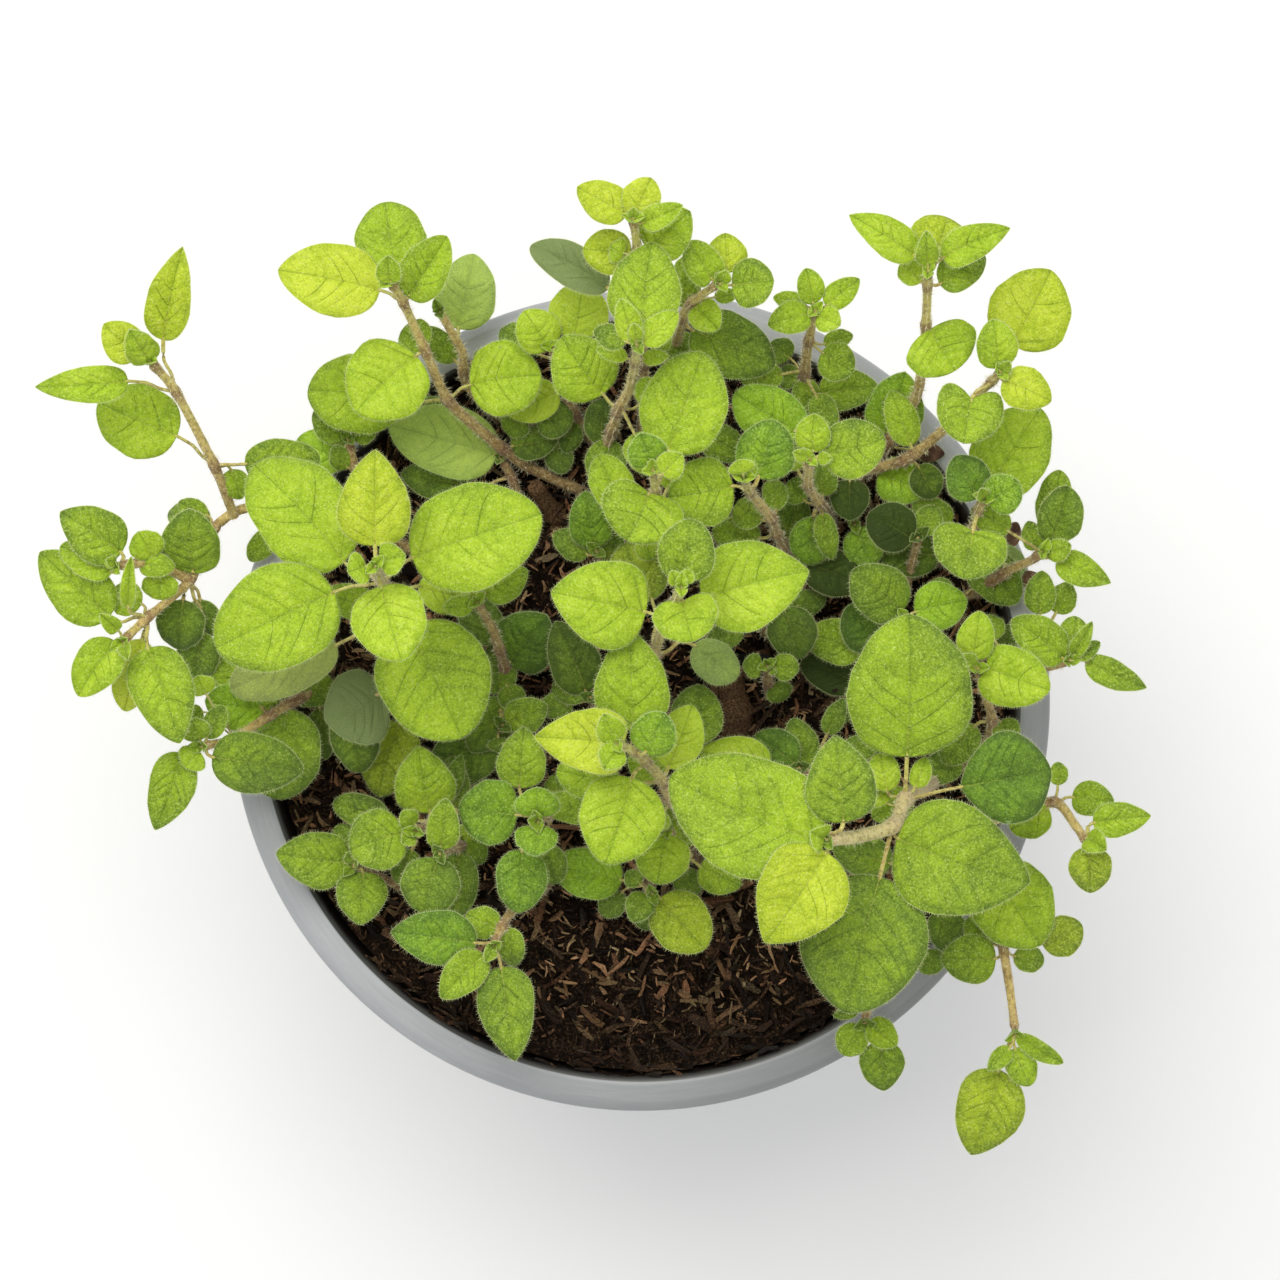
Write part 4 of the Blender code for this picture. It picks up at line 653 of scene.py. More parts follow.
class Leaf(PlainLeaf):
    """One leaf of the table: where its stalk starts, its blade's base and tip, and its size."""

    def __init__(self, lines, whorl, row):
        self.base_place, self.tip_place, self.width, self.lift = row[0:2], row[2:4], row[4], row[5]
        self.fold = row[6] if len(row) > 6 else USUAL_FOLD
        # a little off the stem's line, so that no two stalks start from one point
        turn = 0.37 * (row[0] + 2.0 * row[1] + 3.0 * row[2] + 5.0 * row[3])
        spread = Vector((math.sin(turn), math.cos(1.7 * turn), math.sin(2.3 * turn))) * START_SPREAD
        self.start = nearest_place(lines, *whorl) + spread
        self.rim_height = self.start.z - POT_HEIGHT
        self.middle = tuple((a + b) / 2 for a, b in zip(self.base_place, self.tip_place))

    def reach(self, place):
        """Pixels from the start of the stalk to a picture place."""
        scale = pixel_size(self.rim_height)
        column = PICTURE_MIDDLE + self.start.x / scale
        row = PICTURE_MIDDLE - (self.start.y - MIDDLE_Y) / scale
        return math.hypot(place[0] - column, place[1] - row)

    def lay(self, extra_lift, swing):
        """Base, tip, side and up of the blade after a lift of its tip and a swing round the stem."""
        lift = self.lift + extra_lift
        base_share = min(0.9, self.reach(self.base_place) / max(self.reach(self.tip_place), 1.0))
        turn = Matrix.Rotation(math.radians(swing), 3, "Z")
        base = picture_place(*self.base_place, self.rim_height + lift * base_share)
        tip = picture_place(*self.tip_place, self.rim_height + lift)
        base, tip = (self.start + turn @ (place - self.start) for place in (base, tip))
        stalk = min((base - self.start).length, LONGEST_SHARE * (tip - self.start).length)
        straight = self.start + (tip - self.start).normalized() * max(SHORTEST_STALK, stalk)
        # the base of the blade moves towards the straight line until the stalk bends little enough
        for share in (0.0, 0.25, 0.5, 0.75, 1.0):
            bent = base.lerp(straight, share)
            line = bent - self.start
            if line.length > 0.8 * SHORTEST_STALK and line.angle(tip - bent) < MOST_BEND:
                break
        along = (tip - bent).normalized()
        side = along.cross(UP)
        side = side.normalized() if side.length > 0.05 else Vector((1.0, 0.0, 0.0))
        return bent, tip, side, side.cross(along).normalized()

    def misfit(self, way, packed):
        """How far the corner points of the blade lie from the packed mesh."""
        base, tip, side, up = self.lay(*way)
        length, half = (tip - base).length, 0.5 * self.width * pixel_size(base.z - POT_HEIGHT)
        corners = [tip]
        for share, wide in next(rows for width, rows in CORNER_ROWS if self.width >= width):
            middle = base.lerp(tip, share) + up * (BLADE_ARCH * length * share * (1 - share))
            rise = up * (self.fold * half * wide)
            corners += [middle, middle + rise + side * (half * wide), middle + rise - side * (half * wide)]
        thick = up * (0.5 * BLADE_THICK)
        gaps = [packed.find(corner + part)[2] for corner in corners for part in (thick, -thick)]
        return sum(min(gap, FAR_OFF) for gap in gaps) / len(gaps)

    def settle(self, packed):
        """Take the way of lying that fits the packed mesh best."""
        misfits = [self.misfit(WAYS[0], packed)]
        if misfits[0] > CLOSE_ENOUGH:
            misfits += [self.misfit(way, packed) for way in WAYS[1:]]
        self.way = WAYS[misfits.index(min(misfits))]
        self.base, self.tip, self.side, self.up = self.lay(*self.way)
        self.length = (self.tip - self.base).length
        self.half = 0.5 * self.width * pixel_size(self.base.z - POT_HEIGHT)
        return min(misfits)


print("corners of a broad leaf", 1 + 3 * len(CORNER_ROWS[0][1]), "with both faces",
      2 + 6 * len(CORNER_ROWS[0][1]))

# %% Every leaf in its packed place
def packed_tree(node):
    """A search tree of a packed node's corner points, in millimetres."""
    corners = nodes[node].data.vertices
    tree = KDTree(len(corners))
    for k, corner in enumerate(corners):
        tree.insert(corner.co / MM, k)
    tree.balance()
    return tree


LEAVES = {}
misfits = []
for node, (_, whorls) in SHOOTS.items():
    tree = packed_tree(node)
    LEAVES[node] = [Leaf(LINES[node], whorl, row) for whorl, rows in whorls.items() for row in rows]
    misfits += [leaf.settle(tree) for leaf in LEAVES[node]]
every_leaf = [leaf for leaves in LEAVES.values() for leaf in leaves]
print("leaves", len(every_leaf), "bent", sum(leaf.way != (0, 0) for leaf in every_leaf),
      "worst misfit", round(max(misfits), 3), "mm")

# %% [markdown]
# ## A place to gather one piece
#
# A leafy stem is a few hundred small surfaces: blades, stalks, stem lines and hairs. Joined as
# separate objects they would be slow. So each piece gathers plain arrays of points and faces,
# with two notes for every point that the finishes read later, and becomes a mesh at the end. One
# note says what the surface looks like there, the other how far it is from a leaf's lines.

# %% Heap of surfaces
SHARP_ANGLE = math.radians(48)
LEAF_FINISH, STEM_FINISH, HAIR_FINISH = 0, 1, 2


class Heap:
    """Points in millimetres and faces of one piece, with two notes for every point."""

    def __init__(self):
        self.points, self.look, self.rib, self.faces, self.finish = [], [], [], [], []
        self.count = 0

    def add(self, points, faces, finish, look, rib=(9.0, 9.0, 9.0)):
        """Add a surface; look and rib are one row for all its points, or a row each."""
        points = np.asarray(points, dtype=float)
        self.points.append(points)
        self.look.append(np.broadcast_to(np.asarray(look, dtype=float), (len(points), 4)))
        self.rib.append(np.broadcast_to(np.asarray(rib, dtype=float), (len(points), 3)))
        for block in faces:
            block = np.asarray(block) + self.count
            self.faces += block.tolist()
            self.finish += [finish] * len(block)
        self.count += len(points)

    def piece(self, name, finishes):
        """The mesh object of the heap, with its notes kept as attributes."""
        mesh = bpy.data.meshes.new(name)
        mesh.from_pydata((np.concatenate(self.points) * MM).tolist(), [], self.faces)
        mesh.polygons.foreach_set("material_index", self.finish)
        look = mesh.attributes.new("look", "FLOAT_COLOR", "POINT")
        look.data.foreach_set("color", np.concatenate(self.look).ravel())
        rib = mesh.attributes.new("rib", "FLOAT_VECTOR", "POINT")
        rib.data.foreach_set("vector", np.concatenate(self.rib).ravel())
        for finish in finishes:
            mesh.materials.append(finish.material)
        mesh.shade_smooth()
        mesh.set_sharp_from_angle(angle=SHARP_ANGLE)
        made = bpy.data.objects.new(name, mesh)
        bpy.context.scene.collection.objects.link(made)
        return made

    def triangles(self):
        return sum(len(face) - 2 for face in self.faces)


def grid_faces(rows, columns, closed=False, flip=False):
    """Four-sided faces of a grid of points, row by row, closed round its columns or not."""
    low = np.arange(rows - 1)[:, None] * columns
    across = np.arange(columns if closed else columns - 1)[None, :]
    after = (across + 1) % columns
    corners = np.stack([low + across, low + after, low + columns + after, low + columns + across], axis=-1)
    corners = corners.reshape(-1, 4)
    return corners[:, ::-1] if flip else corners


print("heap ready")

# %% [markdown]
# ## A leaf blade
#
# An oregano leaf is broad and oval. The midrib lies in a groove, three to five pairs of side
# veins leave it and bend towards the tip, and the surface puffs up between them. A picture of
# veins would stay flat, so the mesh itself follows them: its rows run along the side veins and
# its columns along the midrib and the margin. Then a groove needs only one row of points.

# %% Rows and columns that follow the veins
GROOVE_HALF = 0.016
FORWARD_CURVE = 0.18
FIRST_LEAN = 0.08
BASE_ROWS = (0.0, 0.002, 0.005, 0.009, 0.014, 0.020, 0.029)
TIP_ROWS = (0.74, 0.83, 0.895, 0.94, 0.97, 0.99, 1.0)
# longest blade, veins on a side, first vein, spacing, rows between two veins, columns of one half
BLADE_PLANS = (
    (3.6, 1, 0.06, 0.40, (0.3, 0.7), (0.0, 0.2, 0.6, 1.0)),
    (7.0, 2, 0.05, 0.26, (0.3, 0.65), (0.0, 0.1, 0.34, 0.64, 0.88, 1.0)),
    (11.0, 3, 0.045, 0.205, (0.35, 0.65), (0.0, 0.05, 0.16, 0.32, 0.5, 0.69, 0.86, 0.96, 1.0)),
    (99.0, 4, 0.04, 0.165, (0.36, 0.66),
     (0.0, 0.035, 0.10, 0.20, 0.34, 0.50, 0.66, 0.80, 0.91, 0.97, 1.0)),
)


def vein_rows(first, spacing, veins, between):
    """Row places from base to tip: close together at the base and tip, and three at each side vein."""
    places = list(BASE_ROWS if veins > 2 else BASE_ROWS[::2])
    for k in range(veins):
        vein = first + spacing * k
        close = (-GROOVE_HALF, 0.0, GROOVE_HALF) if veins > 2 else (0.0,)
        places += [vein + gap for gap in close] + [vein + spacing * share for share in between]
    tip = TIP_ROWS if veins > 2 else TIP_ROWS[1::2] + TIP_ROWS[-1:]
    places += [place for place in tip if place > places[-1] + 0.03 or place >= 0.99]
    return np.array(sorted(set(round(place, 4) for place in places)))


def bent_forward(rows, across, lean):
    """Share of the blade's length for each row and column: side veins bend towards the tip."""
    forward = lean * across + FORWARD_CURVE * across ** 2
    return rows + forward * (1 - rows) ** 0.9 * np.minimum(1.0, rows / FIRST_LEAN)


for longest, veins, first, spacing, between, columns in BLADE_PLANS:
    print("blades up to", longest, "mm:", len(vein_rows(first, spacing, veins, between)), "rows,",
          2 * len(columns) - 1, "columns")

# %% Outline and ripples
# a full turn in radians, near enough for a wave
TURN = 6.28
RIPPLE_WAVES = 5
ROUND_RATIO, SLIM_RATIO = 1.0, 0.55
MARGIN_WAVE = 0.022


def ripples(x, y, rng, length):
    """Smooth random unevenness from -1 to 1 with features of about the given length."""
    total = np.zeros_like(x)
    for _ in range(RIPPLE_WAVES):
        angle, phase, stretch = rng.random() * math.pi, rng.random() * TURN, rng.uniform(0.75, 1.4)
        total += np.sin((x * math.cos(angle) + y * math.sin(angle)) * TURN / (length * stretch) + phase)
    return total / RIPPLE_WAVES ** 0.5 / 1.4


def dent(off, deep, wide):
    """Depth of a soft groove at a distance from its line."""
    return deep * np.exp(-(off / wide) ** 2)


def outline(leaf, u, v, rng):
    """Share of the full width along the blade: round at both ends, or pointed where it is slim."""
    slim = min(1.0, max(0.0, (ROUND_RATIO - 2 * leaf.half / leaf.length) / (ROUND_RATIO - SLIM_RATIO)))
    base_power = rng.uniform(0.41, 0.48) + max(0.0, -leaf.heart)
    tip_power = 0.56 + 0.05 * slim + rng.uniform(-0.05, 0.10) + leaf.point
    widest = base_power / (base_power + tip_power)
    width = u ** base_power * (1 - u) ** tip_power / (widest ** base_power * (1 - widest) ** tip_power)
    width *= 1 + MARGIN_WAVE * np.sin(TURN * (rng.uniform(1.2, 2.6) * u + rng.random() + 0.5 * (v > 0)))
    return np.maximum(width, 0.3 / leaf.half * (1 - u) + 0.012)


print("outline from", SLIM_RATIO, "to", ROUND_RATIO, "times as wide as long")

# %% Faces of a thin shell
def shell_faces(n_rows, n_columns, n_kept):
    """Faces of a thin shell: the grid above, the coarser one below, two long walls and two ends."""
    high = np.arange(n_rows * n_columns).reshape(n_rows, n_columns)
    low = np.arange(n_rows * n_kept).reshape(n_rows, n_kept) + high.size
    left = np.stack([high[:-1, 0], high[1:, 0], low[1:, 0], low[:-1, 0]], axis=-1)
    right = np.stack([high[1:, -1], high[:-1, -1], low[:-1, -1], low[1:, -1]], axis=-1)
    ends = [np.concatenate([high[0, ::-1], low[0]]), np.concatenate([high[-1], low[-1, ::-1]])]
    below = grid_faces(n_rows, n_kept)[:, ::-1] + high.size
    return [grid_faces(n_rows, n_columns), below, left, right, *(end[None, :] for end in ends)]


def round_the_edge(n_rows, n_columns):
    """Numbers of a grid's outermost points, in their order round it."""
    numbers = np.arange(n_rows * n_columns).reshape(n_rows, n_columns)
    return np.concatenate([numbers[:, 0], numbers[-1, 1:], numbers[-2::-1, -1], numbers[0, -2:0:-1]])


print("faces of the smallest shell", sum(len(block) for block in shell_faces(2, 3, 2)))

# %% Blade surface
THICK_MIDDLE, THICK_MARGIN = 0.42, 0.14
# mm on a leaf of at least this length; on a smaller one the depths and heights shrink with it
GROWN_LENGTH = 14.0
MIDRIB_DEEP, MIDRIB_WIDE, KEEL_DEEP, KEEL_WIDE = 0.26, 0.40, 0.32, 0.35
VEIN_DEEP, VEIN_WIDE, LOW_VEIN_DEEP = 0.11, 0.28, 0.07
PUFF_HIGH, UNEVEN_HIGH, FINE_HIGH = 0.38, 0.15, 0.105
UNEVEN_LONG, FINE_LONG = 5.5, 1.9
# shares of the half width: how far the margin droops, and its waves along the blade
DROOP = 0.12
WAVE_TURNS, WAVE_HIGH = (1.3, 2.7, 4.4), 0.028


def blade(heap, leaf, tone, rng):
    """Add the two faces of a leaf blade to the heap; return its margin and the directions out of it."""
    length, half = leaf.length, leaf.half
    _, veins, first, spacing, between, columns = next(plan for plan in BLADE_PLANS if length < plan[0])
    first, spacing = first * rng.uniform(0.9, 1.25), spacing * rng.uniform(0.93, 1.05)
    rows, columns = vein_rows(first, spacing, veins, between), np.array(columns)
    # s and v are the row and the column of each point, u its share of the length, t of the half width
    s, v = np.meshgrid(rows, np.concatenate([-columns[:0:-1], columns]), indexing="ij")
    t = np.abs(v)
    lean_left, lean_right = rng.uniform(0.26, 0.38, 2)
    u = np.clip(bent_forward(s, t, np.where(v < 0, lean_left, lean_right)), 0.0, 1.0)
    width = outline(leaf, u, v, rng)
    middle = rng.uniform(-0.12, 0.12) * length * u * (1 - u)
    x = v * width * half + middle
    y = length * (u - max(0.0, leaf.heart) * t * width * (1 - u) ** 2)

    # distance from the nearest side vein, the midrib and the margin
    step = (s - first) / spacing
    faint = rng.uniform(0.0, 0.13, (2, veins + 2))
    inside = (step > -0.5) & (step < veins - 0.3)
    to_vein = np.abs(step - np.round(step))
    off_vein = np.where(inside, to_vein * spacing, 0.5 * spacing) * length * 0.75
    faint = faint[(v < 0).astype(int), np.clip(np.round(step), 0, veins + 1).astype(int)]
    off_midrib = np.abs(x - middle)
    off_margin = (1 - t) * width * half

    # relief: arch, fold, grooves of the midrib and side veins, uneven puffs between them
    size = min(1.0, length / GROWN_LENGTH)
    fade = (1 - 0.85 * t ** 1.5) * np.clip((1 - u) * 3, 0, 1)
    uneven = ripples(x, y, rng, UNEVEN_LONG)
    puff = (0.5 - 0.5 * np.cos(TURN * np.clip(to_vein, 0, 0.5))) * inside * (0.65 + 0.35 * uneven)
    z = BLADE_ARCH * length * u * (1 - u)
    z += leaf.fold * half * width * (1.25 * t - 0.25 * t ** 3)
    z -= dent(off_midrib, MIDRIB_DEEP * size, MIDRIB_WIDE * size) * (1 - 0.6 * u)
    z -= dent(off_vein, VEIN_DEEP * size, VEIN_WIDE) * fade * (t > 0.02)
    z += PUFF_HIGH * size * puff * fade * np.sin(math.pi * np.clip(t * 1.05, 0, 1)) ** 0.7
    z += UNEVEN_HIGH * size * uneven + FINE_HIGH * size * ripples(x, y, rng, FINE_LONG)
    z -= DROOP * half * width * t ** 6
    for turns in WAVE_TURNS:
        phase = np.where(v < 0, *rng.random(2))
        z += WAVE_HIGH * half * t ** 2 * np.sin(TURN * (turns * u + phase)) * (4 * u * (1 - u))
    z -= rng.uniform(-0.02, 0.05) * length * np.clip((u - 0.6) / 0.4, 0, 1) ** 2
    z += x * np.sin(math.radians(rng.uniform(-7, 7)) * (u - 0.2))
    thick = np.minimum(THICK_MARGIN + (THICK_MIDDLE - THICK_MARGIN) * (1 - t ** 4), 0.06 * half + 0.14)
    under = z - thick - dent(off_midrib, KEEL_DEEP * size, KEEL_WIDE) * np.clip((1 - u) * 1.6, 0, 1)
    under -= dent(off_vein, LOW_VEIN_DEEP * size, VEIN_WIDE) * fade

    # the face above has every column; the face below only every second one, and a coat of down
    along, side, up = np.array((leaf.tip - leaf.base).normalized()), np.array(leaf.side), np.array(leaf.up)
    place = np.array(leaf.base) + y[..., None] * along + x[..., None] * side
    # painted fold shade: one half of the blade a little lighter than the other
    tones = tone + np.where(v < 0, *rng.uniform(-0.06, 0.06, 2))
    look = np.stack([tones, np.full(s.shape, leaf.hue), u, np.full(s.shape, leaf.frost)], axis=-1)
    rib = np.stack([off_vein + faint, off_midrib, off_margin], axis=-1)
    n_rows, n_columns = s.shape
    centre = n_columns // 2
    kept = sorted({0, n_columns - 1, centre, *range(centre % 2, n_columns, 2)})
    low_look = look[:, kept]
    low_look[..., 3] = 1.0
    top_points = (place + z[..., None] * up).reshape(-1, 3)
    low_points = (place + under[..., None] * up)[:, kept].reshape(-1, 3)
    faces = shell_faces(n_rows, n_columns, len(kept))
    heap.add(np.concatenate([top_points, low_points]), faces, LEAF_FINISH,
             np.concatenate([look.reshape(-1, 4), low_look.reshape(-1, 4)]),
             np.concatenate([rib.reshape(-1, 3), rib[:, kept].reshape(-1, 3)]))
    edge = round_the_edge(n_rows, n_columns)
    outward = np.sign(v)[..., None] * side + (1.6 * u[..., None] - 0.7) * along
    return top_points[edge], outward.reshape(-1, 3)[edge]


print("blade ready")

# %% [markdown]
# ## Stalks, stems and their hairs
#
# A mint-family stem is square, a little thicker at each pair of leaves, and covered in short
# pale hairs. A bevelled curve would be round, so each stem is a tube of eight corners whose
# section is pulled towards a square. The hairs are thin three-sided spikes: real hair curves
# would be lost in the export.

# %% Smooth lines
SMOOTH_STEP, EASE = 1.1, 0.7


def smooth_line(points, step=SMOOTH_STEP):
    """Points about `step` apart on a smooth curve through the given ones."""
    points = [Vector(p) for p in points]
    ends = [points[0] * 2 - points[1]] + points + [points[-1] * 2 - points[-2]]
    line = []
    for before, start, end, after in zip(ends, ends[1:], ends[2:], ends[3:]):
        leave = (end - before) * 0.5 * EASE
        arrive = (after - start) * 0.5 * EASE
        parts = max(2, round((end - start).length / step))
        for k in range(parts):
            h = k / parts
            line.append(start * (2 * h ** 3 - 3 * h ** 2 + 1) + leave * (h ** 3 - 2 * h ** 2 + h)
                        + end * (3 * h ** 2 - 2 * h ** 3) + arrive * (h ** 3 - h ** 2))
    return line + [points[-1]]


print("points on a bend", len(smooth_line([(0, 0, 0), (0, 0, 10), (10, 0, 10)])))

# %% Tubes
SECTION = 8
SECTION_ANGLES = 2 * math.pi * (np.arange(SECTION) + 0.5) / SECTION
SQUARE_PULL = 0.10
STEM_GUIDE = Vector((0.31, 0.95, 0.0))


def tube(heap, line, radii, finish, look, pull=SQUARE_PULL, flat=1.0):
    """Add a tube with a squarish section round a line; return its surface points and normals."""
    rings, outward = [], []
    last = len(line) - 1
    for k, (point, radius) in enumerate(zip(line, radii)):
        along = (line[min(last, k + 1)] - line[max(0, k - 1)]).normalized()
        side = along.cross(STEM_GUIDE if abs(along.dot(STEM_GUIDE)) < 0.9 else UP).normalized()
        up = side.cross(along).normalized()
        for angle in SECTION_ANGLES:
            reach = radius * (1 + pull * math.cos(4 * angle - math.pi))
            out = side * math.cos(angle) + up * (math.sin(angle) * flat)
            rings.append(point + out * reach)
            outward.append(out)
    rows = len(line)
    caps = [np.arange(SECTION)[None, :], (np.arange(SECTION)[::-1] + SECTION * (rows - 1))[None, :]]
    heap.add(rings, [grid_faces(rows, SECTION, closed=True, flip=True)] + caps, finish, look)
    return np.array(rings), np.array(outward)


print("corners of a stem", SECTION)

# %% Hairs
HAIR_THICK, HAIR_SPREAD, HAIR_ROOT = 0.042, 0.28, 0.05


def hairs(heap, roots, directions, lengths, tone, rng, thick=HAIR_THICK):
    """Add a thin three-sided spike at each root."""
    count = len(roots)
    directions = directions + rng.normal(0, HAIR_SPREAD, (count, 3))
    directions /= np.linalg.norm(directions, axis=1)[:, None]
    helper = np.where(np.abs(directions[:, 2:3]) < 0.8, (0.0, 0.0, 1.0), (1.0, 0.0, 0.0))
    side = np.cross(directions, helper)
    side /= np.linalg.norm(side, axis=1)[:, None]
    across = np.cross(directions, side)
    corners = [roots - directions * HAIR_ROOT + (side * math.cos(a) + across * math.sin(a)) * thick
               for a in (0.0, 2 * math.pi / 3, 4 * math.pi / 3)]
    tips = roots + directions * lengths[:, None]
    points = np.stack(corners + [tips], axis=1).reshape(-1, 3)
    first = np.arange(count)[:, None] * 4
    faces = np.concatenate([first + np.array(corner) for corner in ((0, 1, 3), (1, 2, 3), (2, 0, 3))])
    heap.add(points, [faces], HAIR_FINISH, (tone, 0.5, 0.0, 0.0))


print("hair thickness", HAIR_THICK, "mm")

# %% [markdown]
# ## How light each leaf is
#
# Young leaves at the top are a bright yellow green, grown ones a fuller green, and those in the
# shade below are dull and dark, which is partly painted shade. One number, mostly from 0 to 1,
# tells them apart. Leaves that stand out are named by the picture place of their middle, and the
# rest take a tone from their height. In the same way some are warmer, cooler, frosted with a pale
# coat that is partly painted sheen, notched at the base or pointed.

# %% Tones by place
# how light the leaves at these places look: their own green, and on the darker ones painted shade
TONES = {
    1.05: ((122, 340), (133, 676), (328, 280), (531, 402), (536, 334), (578, 310), (585, 737), (644, 199),
           (680, 736)),
    0.95: ((446, 589), (602, 198)),
    0.85: ((321, 451), (388, 380), (503, 378), (695, 714), (734, 758), (795, 895), (1022, 385),
           (1033, 312)),
    0.78: ((152, 548), (187, 742), (198, 688), (241, 704), (375, 500), (388, 620), (440, 440), (466, 291),
           (600, 600), (618, 821), (633, 505), (668, 229), (675, 830), (685, 612), (700, 262), (745, 800),
           (812, 285), (883, 235), (903, 481), (975, 637), (1015, 675)),
    0.72: ((275, 615), (295, 510), (475, 537), (755, 585), (1029, 819)),
    0.68: ((525, 643), (356, 396), (391, 239), (586, 872), (612, 482), (662, 858), (941, 606), (942, 348)),
    0.6: ((74, 584), (427, 266), (435, 680), (537, 804), (637, 514), (682, 923), (683, 402), (720, 876),
          (834, 642), (1015, 906)),
    0.52: ((163, 695), (389, 759), (427, 778), (536, 839), (628, 672), (645, 290), (654, 740), (705, 487),
           (740, 810), (853, 446), (890, 403), (912, 685), (967, 408), (968, 548)),
    0.44: ((97, 532), (168, 791), (280, 675), (377, 841), (488, 811), (687, 550), (753, 283), (848, 390),
           (864, 547), (955, 855), (1003, 494)),
    0.4: ((521, 757), (646, 454), (765, 450), (838, 355), (1090, 870)),
    0.34: ((191, 541), (282, 461), (282, 753), (638, 571), (715, 650), (841, 780), (963, 270), (1000, 568),
           (1062, 934)),
    0.24: ((257, 763), (433, 937), (459, 879), (508, 1014), (520, 881), (590, 520), (690, 700), (740, 345),
           (775, 350), (862, 945), (877, 591), (882, 1066), (1059, 514)),
    0.15: ((199, 656), (431, 886), (775, 749), (966, 479), (1005, 780)),
    0.05: ((180, 625), (203, 612), (335, 385), (345, 740), (358, 737), (420, 490), (435, 480), (510, 640),
           (553, 420), (562, 448), (570, 640), (571, 657), (595, 420), (785, 750), (800, 640), (840, 690),
           (858, 635), (930, 480), (948, 933)),
    -0.06: ((850, 500), (890, 527)),
    -0.12: ((375, 715), (570, 270), (831, 676)),
}
NEAR_ENOUGH = 20.0


def off(leaf, place):
    """Pixels from the middle of a leaf to a picture place."""
    return math.hypot(leaf.middle[0] - place[0], leaf.middle[1] - place[1])


def nearest_leaf(leaves, place, wide_share):
    """The leaf nearest to a picture place, where a share of a leaf's width makes it nearer."""
    return min(leaves, key=lambda leaf: off(leaf, place) - wide_share * leaf.width)


# lower leaves get a darker tone: a fuller green and painted shade
for leaf in every_leaf:
    height = (leaf.base.z + leaf.tip.z) / 2 - POT_HEIGHT
    leaf.tone = min(0.8, max(0.12, 0.2 + 0.018 * height))
for tone, places in TONES.items():
    for place in places:
        near = [leaf for leaf in every_leaf if off(leaf, place) < NEAR_ENOUGH]
        if near:
            nearest_leaf(near, place, 0.2).tone = tone
print("tones", {tone: sum(leaf.tone == tone for leaf in every_leaf) for tone in TONES})

# %% Marks by place
# how deep the base is notched; below 0 it is wedge-shaped
HEARTS = {0.62: ((967, 408),), 0.25: ((968, 548), (685, 612)), 0.22: ((633, 505), (1015, 675), (685, 270)),
          0.2: ((765, 412),), 0.12: ((585, 737),), -0.12: ((187, 742),), -0.35: ((1005, 780),)}
# how much more pointed the tip is
POINTED = {
    0.22: ((375, 500), (503, 1010), (832, 779), (513, 757), (583, 740), (163, 292), (1115, 667),
           (975, 242), (885, 235), (1085, 568)),
    0.13: ((958, 855), (795, 895), (600, 600), (755, 585), (627, 672), (423, 778), (168, 791), (97, 530),
           (85, 378), (1120, 825), (1087, 865)),
    0.08: ((910, 685), (437, 941), (388, 620), (617, 820), (310, 862), (362, 895), (157, 695), (75, 585),
           (330, 280), (985, 1112), (885, 1065), (645, 285), (1012, 775)),
}
WARM = ((941, 236), (375, 498), (122, 340), (682, 923), (133, 676), (796, 897), (985, 1112), (172, 293),
        (607, 252), (579, 740), (1033, 308), (726, 253), (329, 280), (389, 759), (1062, 934), (1027, 390),
        (602, 198), (1090, 870), (644, 199), (283, 667), (638, 571))
COOL = ((766, 449), (488, 811), (433, 937), (537, 804), (864, 547), (646, 454), (807, 540), (525, 643),
        (241, 704), (765, 412), (536, 839), (966, 479), (590, 520), (586, 872), (654, 740), (520, 881),
        (896, 403), (903, 481), (1003, 494), (1005, 780), (321, 451), (941, 606), (775, 749), (863, 631))
# frosted leaves get a pale coat on top: partly their down, partly a painted sheen
FROSTED_AND_SHEEN = ((465, 290), (440, 440), (280, 675), (375, 715), (1000, 575), (715, 650), (570, 270))
# what is marked, its values with their places, and how much of a leaf's width draws it nearer
MARKS = (("heart", HEARTS, 0.0), ("point", POINTED, 0.0), ("hue", {0.95: WARM, 0.05: COOL}, 0.2),
         ("frost", {0.8: FROSTED_AND_SHEEN}, 0.0))
for mark, values, wide_share in MARKS:
    for value, places in values.items():
        for place in places:
            setattr(nearest_leaf(every_leaf, place, wide_share), mark, value)
print("marked", {mark: sum(map(len, values.values())) for mark, values, _ in MARKS})

# %% [markdown]
# ## Small leaves in the shade
#
# Between the large leaves one looks down on many small ones that never reach the light. The
# solids leave most of them out, because they hide each other. Here each is a blade at its own
# picture place, on a thin stalk from the nearest stem that stands far enough away.

